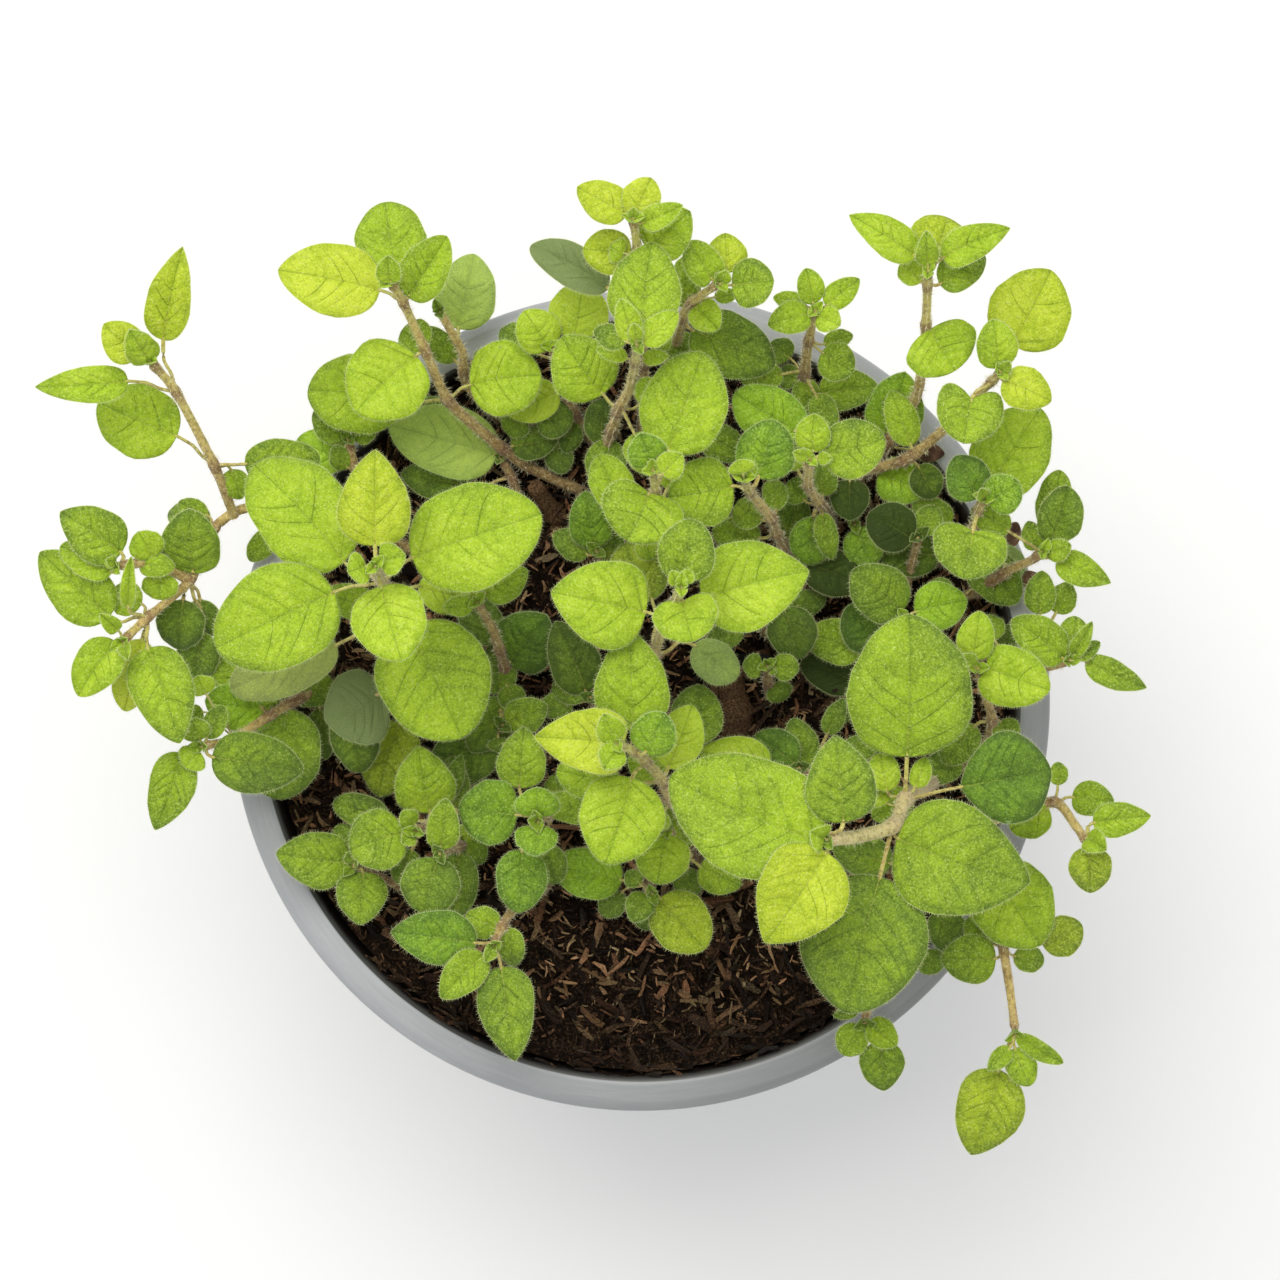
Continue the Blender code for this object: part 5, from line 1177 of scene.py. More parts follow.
# %% Places of the low leaves
# column and row of the middle, height above the rim in mm or None for just above a stem, length
# and width in pixels, and the tone, which is above 1.3 for a dried leaf
# the darkest tones here are painted shade under the leaves above
LOW_LEAVES = (
    (462, 758, 2, 88, 60, 0.06), (488, 726, 4, 62, 46, 0.12), (453, 778, 7, 50, 22, 0.30),
    (645, 455, 30, 48, 39, 0.62), (674, 472, 31, 36, 30, 0.66), (605, 465, 12, 52, 42, 0.28),
    (995, 578, 6, 68, 50, 0.22), (724, 446, 10, 52, 38, 0.32), (480, 616, 3, 62, 42, 0.08),
    (262, 546, 4, 42, 26, 0.50), (498, 668, 2, 54, 36, 0.10), (862, 855, 8, 62, 44, 0.14),
    (892, 806, 22, 46, 34, 0.66), (905, 556, 1, 68, 46, 0.06), (836, 575, 4, 64, 48, -0.12),
    (684, 282, 30, 50, 32, 0.60), (836, 716, 3, 40, 22, 0.20), (645, 765, 20, 42, 36, 0.66),
    (350, 600, 15, 58, 36, 0.58), (990, 520, 22, 44, 32, 0.55), (568, 808, 15, 54, 32, 0.55),
    (901, 418, 14, 58, 34, 0.48), (535, 442, 4, 48, 34, 0.12), (468, 846, 4, 46, 36, 0.36),
    (940, 768, 6, 46, 34, 0.28), (677, 346, 12, 42, 30, 0.32), (157, 566, None, 36, 26, 0.62),
    (800, 744, 8, 54, 36, 0.32), (792, 514, 5, 52, 36, 0.22), (230, 672, 10, 62, 42, 0.50),
    (310, 692, 5, 52, 36, 0.34), (681, 829, 10, 46, 30, 0.52), (806, 398, 8, 38, 30, 0.45),
    (822, 477, 8, 38, 32, 0.28), (262, 720, 8, 58, 32, 0.40), (215, 722, None, 36, 24, 0.55),
    (610, 336, None, 34, 26, 0.34), (555, 706, 4, 36, 28, 0.30), (323, 734, 2, 52, 28, 0.14),
    (611, 546, 4, 38, 28, 0.22), (440, 344, 8, 46, 28, 0.30), (863, 748, 8, 46, 28, 0.30),
    (724, 636, 6, 42, 28, 0.28), (805, 603, 2, 44, 30, 0.06), (1006, 638, 2, 42, 28, 0.12),
    (932, 961, 0, 32, 26, 0.24), (569, 437, 3, 32, 26, 0.06), (762, 378, 12, 42, 28, 0.42),
    (825, 412, 12, 38, 28, 0.48), (930, 452, 1, 30, 20, 1.45), (1013, 534, 3, 26, 18, 1.45),
    (1030, 578, 1, 24, 16, 1.45),
)
print("places", len(LOW_LEAVES), "dried leaves", sum(row[-1] > 1.3 for row in LOW_LEAVES))

# %% Low leaves
LOW_FOLD = 0.10
FLATTEN = 0.25
CLEAR_OF_STEM, ABOVE_STEM, ABOVE_SOIL = 1.5, 2.0, 0.5


class LowLeaf(PlainLeaf):
    """A leaf at a picture place, on a stalk from the nearest stem that isn't under its blade."""

    def __init__(self, spots, column, row, height, long, wide, tone):
        self.middle, self.width, self.tone, self.fold = (column, row), wide, tone, LOW_FOLD
        if height is None:
            near = min(spots, key=lambda spot: beside(spot[1], column, row))
            height = near[1].z - POT_HEIGHT + ABOVE_STEM
        centre = picture_place(column, row, height)
        self.length, self.half = long * pixel_size(height), 0.5 * wide * pixel_size(height)
        clear = 0.5 * self.length + CLEAR_OF_STEM
        self.node, self.start = min((spot for spot in spots if (spot[1] - centre).xy.length > clear),
                                    key=lambda spot: (spot[1] - centre).length)
        along = centre - self.start
        along.z *= FLATTEN
        along.normalize()
        self.base, self.tip = centre - along * (0.5 * self.length), centre + along * (0.5 * self.length)
        self.side = along.cross(UP).normalized()
        self.up = self.side.cross(along).normalized()


spots = [(node, place) for node, lines in LINES.items() for place in steps_along(lines)
         if place.z > soil_height(place.x, place.y) + ABOVE_SOIL]
low_leaves = [LowLeaf(spots, *row) for row in LOW_LEAVES]
for leaf in low_leaves:
    LEAVES[leaf.node].append(leaf)
longest_stalk = max((leaf.base - leaf.start).length for leaf in low_leaves)
print("low leaves", len(low_leaves), "longest stalk", round(longest_stalk, 1), "mm")

# %% [markdown]
# ## Finish of the leaves
#
# The skin of the leaf is a fine grain: pale specks where short hairs catch the light, over a
# yellow green that turns fuller towards the tip. The side veins are thin and a little darker,
# the midrib is yellow near the stalk, and the margin is pale with down. The notes of each point
# say how far it is from vein, midrib and margin, so every line is as thin as on the real leaf.

# %% Veins and grain of a leaf
leaf_finish = Finish("leaf_blade", Sheen_Weight=0.05, Sheen_Roughness=0.5, Specular_IOR_Level=0.2)
tone, hue, along = leaf_finish.parts(leaf_finish.note("look"))
down_and_sheen = leaf_finish.note("look", "Alpha")
off_vein, off_midrib, off_margin = leaf_finish.parts(leaf_finish.note("rib", "Vector"))
clouds = leaf_finish.noise(80.0)
mottle = leaf_finish.noise(330.0, 3.0)
puff_shade_blots = leaf_finish.noise(950.0)
grain = leaf_finish.noise(2300.0, rough=0.75)
specks = leaf_finish.dots(2700.0, 0.12, 0.42)
inner = off_margin.step(0.1, 2.8)
calm = off_margin.step(0.4, 3.2)
vein = off_vein.fall(0.03, 0.15) * calm * clouds.step(0.18, 0.44)
# painted shade: fold darkens the blade beside each side vein, in its creases
fold = off_vein.fall(0.10, 1.10) * calm
midrib = off_midrib.fall(0.05, 0.20)
# painted shade: groove darkens the blade along the midrib
groove = off_midrib.fall(0.15, 1.0)
margin = off_margin.fall(0.03, 0.20)
print("nodes for veins and grain", len(leaf_finish.tree.nodes))

# %% Colour of a leaf
# the mottle and blots vary the green at random, and are also painted light and shade of the small puffs
spread = (clouds - 0.5) * 0.54 + (mottle - 0.5) * 0.42 + (puff_shade_blots - 0.5) * 0.44 + (0.5 - along) * 0.12
# painted shade beside the side veins and along the midrib
spread = spread + inner * 0.20 - fold * 0.08 - groove * 0.06 - 0.09
GREENS = ((0.0, (0.074, 0.126, 0.013)), (0.25, (0.160, 0.262, 0.020)), (0.5, (0.258, 0.392, 0.017)),
          (0.75, (0.365, 0.530, 0.019)), (1.0, (0.500, 0.672, 0.045)))
DARK_VEIN, YELLOW_RIB, DARK_RIB = (0.090, 0.180, 0.006), (0.50, 0.50, 0.090), (0.095, 0.180, 0.007)
PALE_HAIR_AND_GLINT, DEEP_SHADE = (0.66, 0.79, 0.24), (0.018, 0.032, 0.004)
# the pale down of the undersides, and on top of frosted leaves a painted sheen
PALE_MARGIN, DOWN_AND_SHEEN = (0.66, 0.74, 0.34), (0.44, 0.56, 0.21)
lightness = tone * 0.9 + 0.05 + spread
deeper = leaf_finish.ramp(lightness - 0.32, *GREENS)
# pale specks: the hairs' own paleness and a painted glint where they catch the light, stronger on lighter
# leaves
pale = specks * mottle.step(0.34, 0.62, 0.24, 0.72) + (grain - 0.56) * 3.0
# tones below 0.06 sink into a painted deep shade
green = leaf_finish.over(
    leaf_finish.ramp(lightness, *GREENS), (vein * 0.52, DARK_VEIN),
    (midrib * (1.0 - along * 1.3) * 0.55, YELLOW_RIB), (midrib * (along + 0.15) * 0.52, DARK_RIB),
    ((0.54 - grain) * 3.2, deeper), (pale * tone.step(0.0, 0.55, 0.40, 1.0), PALE_HAIR_AND_GLINT),
    (tone.step(-0.16, 0.06, 0.75, 0.0), DEEP_SHADE), (margin * 0.40, PALE_MARGIN), (down_and_sheen * 0.50, DOWN_AND_SHEEN))
dried = leaf_finish.ramp(mottle, (0.35, (0.060, 0.026, 0.015)), (0.65, (0.240, 0.130, 0.080)))
green = leaf_finish.mix(tone.step(1.15, 1.35), leaf_finish.tint(green, hue * 0.26 + 0.87), dried)
leaf_finish.surface(green, mottle * 0.25 + 0.45)
leaf_finish.relief(grain * 1.4 + specks * 0.6 - vein * 0.7 + mottle * 2.4, 0.15)
print("leaf finish nodes", len(leaf_finish.tree.nodes))

# %% [markdown]
# ## Finish of the stems and hairs
#
# The stems are olive where they are young and a woody beige brown below, streaked along their
# length. The hairs are nearly white, and greener on the leaves than on the wood.

# %% Stem skin
stem_finish = Finish("stem_skin", Sheen_Weight=0.2, Sheen_Roughness=0.5, Specular_IOR_Level=0.3)
youth, node_dark, pale = stem_finish.parts(stem_finish.note("look"))
streaks = stem_finish.noise(900.0, 4.0, rough=0.7)
patches = stem_finish.noise(220.0)
down = stem_finish.dots(2100.0, 0.12, 0.32)
wood = stem_finish.ramp(youth + (patches - 0.5) * 0.5 + (streaks - 0.5) * 0.3,
                        (0.0, (0.130, 0.075, 0.028)), (0.3, (0.360, 0.240, 0.075)),
                        (0.6, (0.620, 0.470, 0.140)), (1.0, (0.550, 0.560, 0.110)))
wood = stem_finish.over(wood, (node_dark * 0.7, (0.19, 0.080, 0.055)), (pale * 0.8, (0.80, 0.64, 0.36)),
                        ((0.52 - streaks) * 3.6, (0.130, 0.070, 0.032)),
                        (down * (youth * 0.5 + 0.40) + (streaks - 0.5) * 0.9, (0.90, 0.82, 0.50)))
stem_finish.surface(wood, streaks * 0.3 + 0.45)
stem_finish.relief(streaks + down * 0.5, 0.12, 0.8)
print("stem finish nodes", len(stem_finish.tree.nodes))

# %% Pale hair
hair_finish = Finish("plant_hair", Sheen_Weight=0.2, Specular_IOR_Level=0.4)
hair_tone = hair_finish.parts(hair_finish.note("look"))[0]
white = hair_finish.ramp(hair_tone + (hair_finish.noise(2000.0) - 0.5) * 0.3,
                         (0.0, (0.84, 0.76, 0.54)), (1.0, (0.70, 0.78, 0.34)))
hair_finish.surface(white, hair_finish.noise(1500.0) * 0.2 + 0.45)
plant_finishes = [leaf_finish, stem_finish, hair_finish]
print("finishes of a stem", [finish.material.name for finish in plant_finishes])

# %% [markdown]
# ## Growing the leafy stems
#
# Every leafy stem is now grown as one piece, as on the plant: the tubes of its lines, a stalk
# to each blade, the blades, a tight bud of tiny leaves at each tip, and the down over it all.

# %% Stem lines
STEM_R, TIP_R, SIDE_R = 1.30, 0.80, 1.0
# first and last radius in mm, and how pale: stems that differ from the rest
STEM_LOOKS = {"stem_big_rosette": (1.7, 1.25, 0.7), "stem_left_middle": (1.5, 0.9, 0.5),
              "stem_left_under": (1.0, 0.4, 0.2)}
NODE_SWELL, NODE_REACH = 0.30, 1.6
STEM_HAIRS_PER_MM, STEM_HAIR_THICK = 9.0, 0.05
TALLEST = max(line[-1].z for lines in LINES.values() for line in lines) - POT_HEIGHT


def taper(first, last, k, steps):
    """Radius of a tube at the k-th of its steps."""
    return first + (last - first) * k / steps


def grow_line(heap, line, first_radius, last_radius, paleness, joints, rng):
    """One stem line with a swelling at each of its leaf pairs."""
    smooth = smooth_line(line)
    last = len(smooth) - 1
    radii, look = [], []
    for k, point in enumerate(smooth):
        swell = max([math.exp(-((point - joint).length / NODE_REACH) ** 2) for joint in joints] + [0.0])
        radius = taper(first_radius, last_radius, k, last) * (1 + NODE_SWELL * swell)
        radii.append(radius * rng.uniform(0.97, 1.03) * (0.6 if k == last else 1.0))
        youth = 0.12 + 0.75 * max(0.0, (point.z - POT_HEIGHT) / TALLEST) ** 0.8 + 0.12 * k / last
        look += [(min(1.0, youth), swell, paleness, 0.0)] * SECTION
    surface, outward = tube(heap, smooth, radii, STEM_FINISH, look)
    length = sum((b - a).length for a, b in zip(smooth, smooth[1:]))
    picked = rng.integers(0, len(surface) - SECTION, int(length * STEM_HAIRS_PER_MM))
    share = rng.random(len(picked))[:, None]
    roots = surface[picked] * (1 - share) + surface[picked + SECTION] * share
    hairs(heap, roots, outward[picked], rng.uniform(0.5, 1.2, len(picked)), 0.2, rng, STEM_HAIR_THICK)


print("tallest stem", round(TALLEST, 1), "mm above the rim")

# %% Stalks and margins
STALK_R, STALK_END_R = 0.46, 0.40
STALK_STEP, STALK_SAG = 0.8, 0.25
STALK_HAIRS_PER_MM, MARGIN_HAIR_GAP = 3.5, 0.36


def youth_of(tone):
    """How young a leaf's stalk and down look."""
    return min(1.0, 0.7 + 0.3 * tone)


def grow_stalk(heap, leaf, tone, rng):
    """The stalk of one leaf, which bends from its way out of the stem into the rise of the blade."""
    rise = ((leaf.tip - leaf.base).normalized() + leaf.up * BLADE_ARCH).normalized()
    stalk, out = (leaf.base - leaf.start).length, (leaf.base - leaf.start).normalized()
    bend = (leaf.base - rise * (0.4 * stalk)).lerp(leaf.base - out * (0.4 * stalk), 0.5)
    places = [leaf.start, leaf.start + out * (0.35 * stalk), bend, leaf.base - leaf.up * STALK_SAG]
    line = smooth_line(places + [leaf.base + rise * 0.6 - leaf.up * 0.3], STALK_STEP)
    count, youth = len(line), youth_of(tone)
    size = min(1.0, 0.45 + 0.05 * leaf.length)
    radii = [taper(STALK_R, STALK_END_R, k, count) * size for k in range(count)]
    radii[-1] *= 0.5
    look = [(youth, 0.35 * (1 - k / count), 0.0, 0.0) for k in range(count) for _ in range(SECTION)]
    surface, outward = tube(heap, line, radii, STEM_FINISH, look, pull=0.0, flat=0.8)
    picked = rng.integers(0, len(surface) - SECTION, int(stalk * STALK_HAIRS_PER_MM) + 2)
    hairs(heap, surface[picked], outward[picked], rng.uniform(0.3, 0.7, len(picked)), 0.6, rng)


def grow_margin(heap, leaf, edge, outward, tone, rng):
    """Down along the margin of a blade."""
    after = np.roll(edge, -1, axis=0)
    gaps = np.linalg.norm(after - edge, axis=1)
    run = np.concatenate([[0.0], np.cumsum(gaps)])
    stops = np.arange(0.0, run[-1], MARGIN_HAIR_GAP)
    stops = stops + rng.uniform(-0.1, 0.1, len(stops))
    k = np.clip(np.searchsorted(run, stops) - 1, 0, len(edge) - 1)
    share = ((stops - run[k]) / np.maximum(gaps[k], 1e-6))[:, None]
    roots = edge[k] + (after[k] - edge[k]) * share
    directions = outward[k] - np.array(leaf.up) * 0.1
    hairs(heap, roots, directions, rng.uniform(0.3, 0.8, len(k)), youth_of(tone), rng)


print("a hair on the margin each", MARGIN_HAIR_GAP, "mm")

# %% Buds
# length in mm, lean outwards and turn in half turns of the two pairs of leaves in a bud
BUD_PAIRS = ((3.1, 0.80, 0.0), (2.0, 0.45, 0.5))
BUD_FOLD, BUD_HALF = 0.55, 0.38


class TinyLeaf(PlainLeaf):
    """A leaf of a bud, set by its base, direction and size."""

    def __init__(self, base, along, side, length):
        self.base, self.tip, self.side = base, base + along * length, side
        self.up = side.cross(along).normalized()
        self.length, self.half, self.fold = length, length * BUD_HALF, BUD_FOLD


def grow_bud(heap, line, tone, rng):
    """Two pairs of tiny leaves, one inside the other, that close the tip of a stem line."""
    tip = line[-1]
    along = (line[-1] - line[-2]).normalized().lerp(UP, 0.5).normalized()
    across = along.cross(STEM_GUIDE).normalized()
    turn = rng.uniform(0, math.pi)
    for length, lean, quarter in BUD_PAIRS:
        for half_turn in (0.0, 1.0):
            spin = Matrix.Rotation(turn + math.pi * (quarter + half_turn), 3, along)
            out = spin @ across
            grow = (along + out * lean).normalized()
            side = grow.cross(along).normalized()
            leaf = TinyLeaf(tip + out * 0.25 - along * 0.1, grow, side, length * rng.uniform(0.85, 1.1))
            if leaf.up.dot(along) < 0:
                leaf.side, leaf.up = -leaf.side, -leaf.up
            blade(heap, leaf, tone, rng)


print("leaves in a bud", 2 * len(BUD_PAIRS))

# %% Leafy stems
HIDDEN_BUDS = {"stem_left_under"}
BUD_LIGHTER = 0.15
total = 0
for order, (node, lines) in enumerate(LINES.items()):
    rng = np.random.default_rng(1000 + order)
    heap = Heap()
    joints = [leaf.start for leaf in LEAVES[node]]
    first, last, paleness = STEM_LOOKS.get(node, (STEM_R, TIP_R, 0.0))
    for k, line in enumerate(lines):
        grow_line(heap, line, first if k == 0 else SIDE_R, last, paleness, joints, rng)
        near = min(LEAVES[node], key=lambda leaf: (leaf.start - line[-1]).length)
        if node not in HIDDEN_BUDS:
            grow_bud(heap, line, min(1.0, near.tone + BUD_LIGHTER), rng)
    for leaf in LEAVES[node]:
        tone = leaf.tone + rng.uniform(-0.04, 0.04)
        grow_stalk(heap, leaf, tone, rng)
        grow_margin(heap, leaf, *blade(heap, leaf, tone, rng), tone, rng)
    leafy = heap.piece("leafy_" + node, plant_finishes)
    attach(leafy, "root")
    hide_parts(node)
    total += heap.triangles()
print("leafy stems", len(LINES), "triangles", total)

# %% [markdown]
# ## The pot
#
# The pot is moulded in one piece of blue-grey plastic. From above only its flat rim shows, with
# a softly rounded outer edge and a fine lip inside, but it is judged from all sides: below the
# rim there is a skirt, then the tapered wall. It is a solid of revolution, so one profile is
# turned about the axis, with extra points where the real edges are rounded.

# %% Turn a profile
POT_SIDES = 168
CORNER_STEPS = 5
PLAIN_LOOK = (0.5, 0.5, 0.0, 0.0)


def rounded(profile, sizes):
    """The profile with each corner replaced by a short curve of its given size."""
    line = [profile[0]]
    for *places, size in zip(profile, profile[1:], profile[2:], sizes):
        before, corner, after = (Vector(place) for place in places)
        reach = min(size, 0.45 * (corner - before).length, 0.45 * (after - corner).length)
        start = corner + (before - corner).normalized() * reach
        end = corner + (after - corner).normalized() * reach
        for k in range(CORNER_STEPS + 1):
            h = k / CORNER_STEPS
            place = start * (1 - h) ** 2 + corner * (2 * h * (1 - h)) + end * h ** 2
            line.append((place.x, place.y))
    return line + [profile[-1]]


def turned(heap, profile, sides, height=None):
    """Turn (radius, height) points about the axis, in the first finish of the piece."""
    angles = 2 * math.pi * np.arange(sides) / sides
    rings = np.array([(r, z) for r, z in profile[1:-1]])
    x, y = rings[:, :1] * np.cos(angles), rings[:, :1] * np.sin(angles)
    z = np.broadcast_to(rings[:, 1:], x.shape)
    if height is not None:
        z = height(x, y, z)
    points = np.stack([x, y, z], axis=-1).reshape(-1, 3)
    top = profile[-1][1] if height is None else z[-1].mean()
    points = np.concatenate([points, [(0.0, 0.0, profile[0][1]), (0.0, 0.0, top)]])
    count = len(points) - 2
    around, after = np.arange(sides), (np.arange(sides) + 1) % sides
    low = np.stack([np.full(sides, count), after, around], axis=-1)
    high = np.stack([np.full(sides, count + 1), around + count - sides, after + count - sides], axis=-1)
    heap.add(points, [grid_faces(len(rings), sides, closed=True), low, high], 0, PLAIN_LOOK)


print("profile tools ready")

# %% Profile of the pot
BASE_R, WALL, FLOOR = 58.0, 2.5, 3.0
WALL_TOP_R, SKIRT_LOW_R = 77.3, 80.8
SKIRT_Z = POT_HEIGHT - 14.0
OUTER_R, INNER_R = 82.4, 75.4
foot = [(0.0, 1.2), (BASE_R - 12.0, 1.2), (BASE_R - 10.0, 0.0), (BASE_R, 0.0)]
skirt = [(WALL_TOP_R, SKIRT_Z), (SKIRT_LOW_R - 0.4, SKIRT_Z)]
rim = [(OUTER_R - 0.1, POT_HEIGHT - 1.3), (OUTER_R - 2.2, POT_HEIGHT - 0.1), (INNER_R + 1.2, POT_HEIGHT),
       (INNER_R, POT_HEIGHT - 0.5), (INNER_R - 0.7, POT_HEIGHT - 4.0)]
corners = foot + skirt + rim + [(BASE_R - WALL, FLOOR), (0.0, FLOOR)]
profile = rounded(corners, (0.6, 0.6, 1.2, 1.0, 0.5, 0.9, 0.6, 0.5, 0.7, 0.8, 2.0))
print("points in the profile", len(profile))

# %% Pot plastic
# radius half way through the wall in mm: at the base, and what each mm of height adds
HALF_WAY_R, HALF_WAY_SLOPE = 56.5, 0.1683
pot_finish = Finish("pot_plastic_fine", Specular_IOR_Level=0.5)
x, y, z = pot_finish.parts(pot_finish.place())
radius = (x * x + y * y).math("SQRT")
off_axis = radius + 0.0001
turn = {0: x / off_axis * 0.008, 1: y / off_axis * 0.008, 2: (radius + z) * 2.2}
turn = pot_finish.node("ShaderNodeCombineXYZ", {}, turn)
long_scratch = pot_finish.noise(900.0, 3.0, at=turn, rough=0.6)
blotch = pot_finish.noise(28.0, 3.0)
dust = pot_finish.noise(1500.0)
scuffs = pot_finish.dots(240.0, 0.03, 0.12) * pot_finish.noise(60.0).step(0.52, 0.66)
front = y * -1.0
# painted shadow: a dark brown line along the outer edge of the rim
edge_shadow_line = (radius - (OUTER_R - 0.35) * MM).step(0.0, 0.0004)
# painted shade: the inner lip and the top of the inner wall nearly black
lip_shade_line = ((INNER_R + 0.95) * MM - radius).step(0.0, 0.0003) * (z - SKIRT_Z * MM).step(0.004, 0.006)
# painted shadow of the leaves on the rim at the front right
leaf_shadow_on_rim = (x * 0.7 - y * 0.7).step(0.020, 0.078) * (z - POT_HEIGHT * MM).step(-0.004, -0.001)
half_way = z * HALF_WAY_SLOPE + HALF_WAY_R * MM
# painted shade on the inner wall below the lip, deepest at the front
inside = (half_way - radius).step(-0.0004, 0.0004) * front.step(-0.055, 0.03, 0.35, 1.0)
ragged = (pot_finish.noise(260.0, 4.0) - 0.5) * 0.003
depth = ((POT_HEIGHT - 0.8) * MM - z + ragged).step(0.0, 0.0016)
EDGE_SHADOW_BROWN, LIP_SHADE_DARK, INNER_WALL_SHADE = (0.33, 0.25, 0.22), (0.022, 0.020, 0.016), (0.014, 0.010, 0.008)
PAINTED_SHADE_GREY, SCUFFED = (0.085, 0.085, 0.078), (0.55, 0.55, 0.54)
grey = pot_finish.ramp(long_scratch * 0.55 + blotch * 0.30 + dust * 0.15, (0.25, (0.330, 0.345, 0.362)),
                       (0.5, (0.385, 0.398, 0.412)), (0.75, (0.440, 0.450, 0.458)))
# painted shade: the rim darker at the front right, and the front of the pot a little darker
grey = pot_finish.over(grey, (edge_shadow_line * 0.45, EDGE_SHADOW_BROWN), (lip_shade_line * 0.92, LIP_SHADE_DARK),
                       (leaf_shadow_on_rim * 0.42, PAINTED_SHADE_GREY), (front.step(0.045, 0.078) * 0.08, PAINTED_SHADE_GREY),
                       (scuffs * 0.25, SCUFFED), (inside * depth * 0.95, INNER_WALL_SHADE))
pot_finish.surface(grey, long_scratch * 0.25 + scuffs * 0.1 + 0.24)
pot_finish.relief(long_scratch + dust * 0.3, 0.05, 0.6)
print("pot finish nodes", len(pot_finish.tree.nodes))

# %% Pot
heap = Heap()
turned(heap, profile, POT_SIDES)
fine_pot = heap.piece("fine_pot", [pot_finish])
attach(fine_pot, "root")
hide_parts("pot")
print("pot triangles", heap.triangles())

# %% [markdown]
# ## The soil
#
# The pot is filled with dark peat that is full of bark chips and fibres from 1 to 11 mm long. A
# bump map would look like flat brown paint so near the camera. So the plug gets a finely
# lumped top, and several thousand small bent chips are strewn over it, each with its own brown.

# %% Top of the peat
SOIL_FLOOR_Z = FLOOR + 0.3
SOIL_WALL_Z = POT_HEIGHT + SOIL_TOP - SOIL_DROP
SOIL_LOW_R, SOIL_HIGH_R = 54.9, 73.9
BANK_FROM_R, BANK_HEIGHT = 60.0, 5.2
TOP_RINGS = 60
SOIL_SIDES = 200
# height in mm and lumps to the mm, of the coarse and of the fine lumps
PEBBLES, CRUMBS = (1.1, 0.55), (0.75, 1.5)


def frontness(y):
    """1 at the front of the pot, where the peat reaches the lip, and little at the back."""
    return np.clip(0.3 - 0.75 * y / SOIL_HIGH_R, 0.2, 1.0)


def peat_height(x, y):
    """Top of the fine soil: that of the solid, heaped a little against the wall at the front."""
    share = min(1.0, max(0.0, (math.hypot(x, y) - BANK_FROM_R) / (SOIL_HIGH_R - BANK_FROM_R)))
    return soil_height(x, y) + BANK_HEIGHT * frontness(y) * share ** 2


def lumpy(x, y, z):
    """Fine lumps on the top rings of the plug, which calm down at its wall."""
    high = z.copy()
    for row in range(len(x) - TOP_RINGS, len(x)):
        for k in range(x.shape[1]):
            a, b = x[row, k], y[row, k]
            fine = noise.noise(Vector((a * PEBBLES[1], b * PEBBLES[1], 3.1))) * PEBBLES[0]
            fine += noise.noise(Vector((a * CRUMBS[1], b * CRUMBS[1], 7.7))) * CRUMBS[0]
            calm = min(1.0, (SOIL_HIGH_R + 0.8 - math.hypot(a, b)) / 3.0)
            high[row, k] = peat_height(a, b) + fine * calm
    return high


under_rim = POT_HEIGHT - peat_height(0.0, -SOIL_HIGH_R)
print("peat at the front", round(under_rim, 1), "mm under the rim")

# %% Peat and bark
soil_finish = Finish("peat", Specular_IOR_Level=0.08)
crumbs = soil_finish.noise(380.0, 5.0, rough=0.75) * 0.55 + soil_finish.noise(1900.0, 3.0) * 0.45
peat = soil_finish.ramp(crumbs, (0.40, (0.0036, 0.0022, 0.0016)), (0.52, (0.016, 0.0090, 0.0050)),
                        (0.60, (0.075, 0.043, 0.023)), (0.70, (0.240, 0.145, 0.075)))
soil_finish.surface(peat, soil_finish.noise(500.0) * 0.25 + 0.7)
soil_finish.relief(soil_finish.noise(1100.0, 4.0, rough=0.75), 1.1)
chip_finish = Finish("bark_chips", Specular_IOR_Level=0.14)
brown, dryness, _ = chip_finish.parts(chip_finish.note("look"))
fibre = chip_finish.noise(2600.0, 3.0, rough=0.7)
bark = chip_finish.ramp(brown * 0.9 + (fibre - 0.5) * 1.1, (0.0, (0.0040, 0.0026, 0.0018)),
                        (0.30, (0.032, 0.0180, 0.0092)), (0.52, (0.150, 0.086, 0.041)),
                        (0.8, (0.340, 0.205, 0.100)), (1.0, (0.56, 0.39, 0.210)))
chip_finish.surface(chip_finish.tint(bark, dryness * 0.40 + 0.82), dryness * 0.35 + 0.5)
chip_finish.relief(fibre, 0.15, 0.9)
print("bark finish nodes", len(chip_finish.tree.nodes))

# %% Plug of peat
soil_heap = Heap()
plug = [(0.0, SOIL_FLOOR_Z), (SOIL_LOW_R, SOIL_FLOOR_Z), (SOIL_HIGH_R, SOIL_WALL_Z)]
plug += [(SOIL_HIGH_R * (1 - k / TOP_RINGS) + 0.4 * k / TOP_RINGS, POT_HEIGHT) for k in range(TOP_RINGS)]
turned(soil_heap, plug + [(0.0, POT_HEIGHT)], SOIL_SIDES, height=lumpy)
print("plug triangles", soil_heap.triangles())

# %% Strewing chips
BARK_FINISH = 1
OVER_LIP = 1.6
WALL_SHADOW_FROM_R, WALL_SHADOW_RUN = 62.0, 8.0


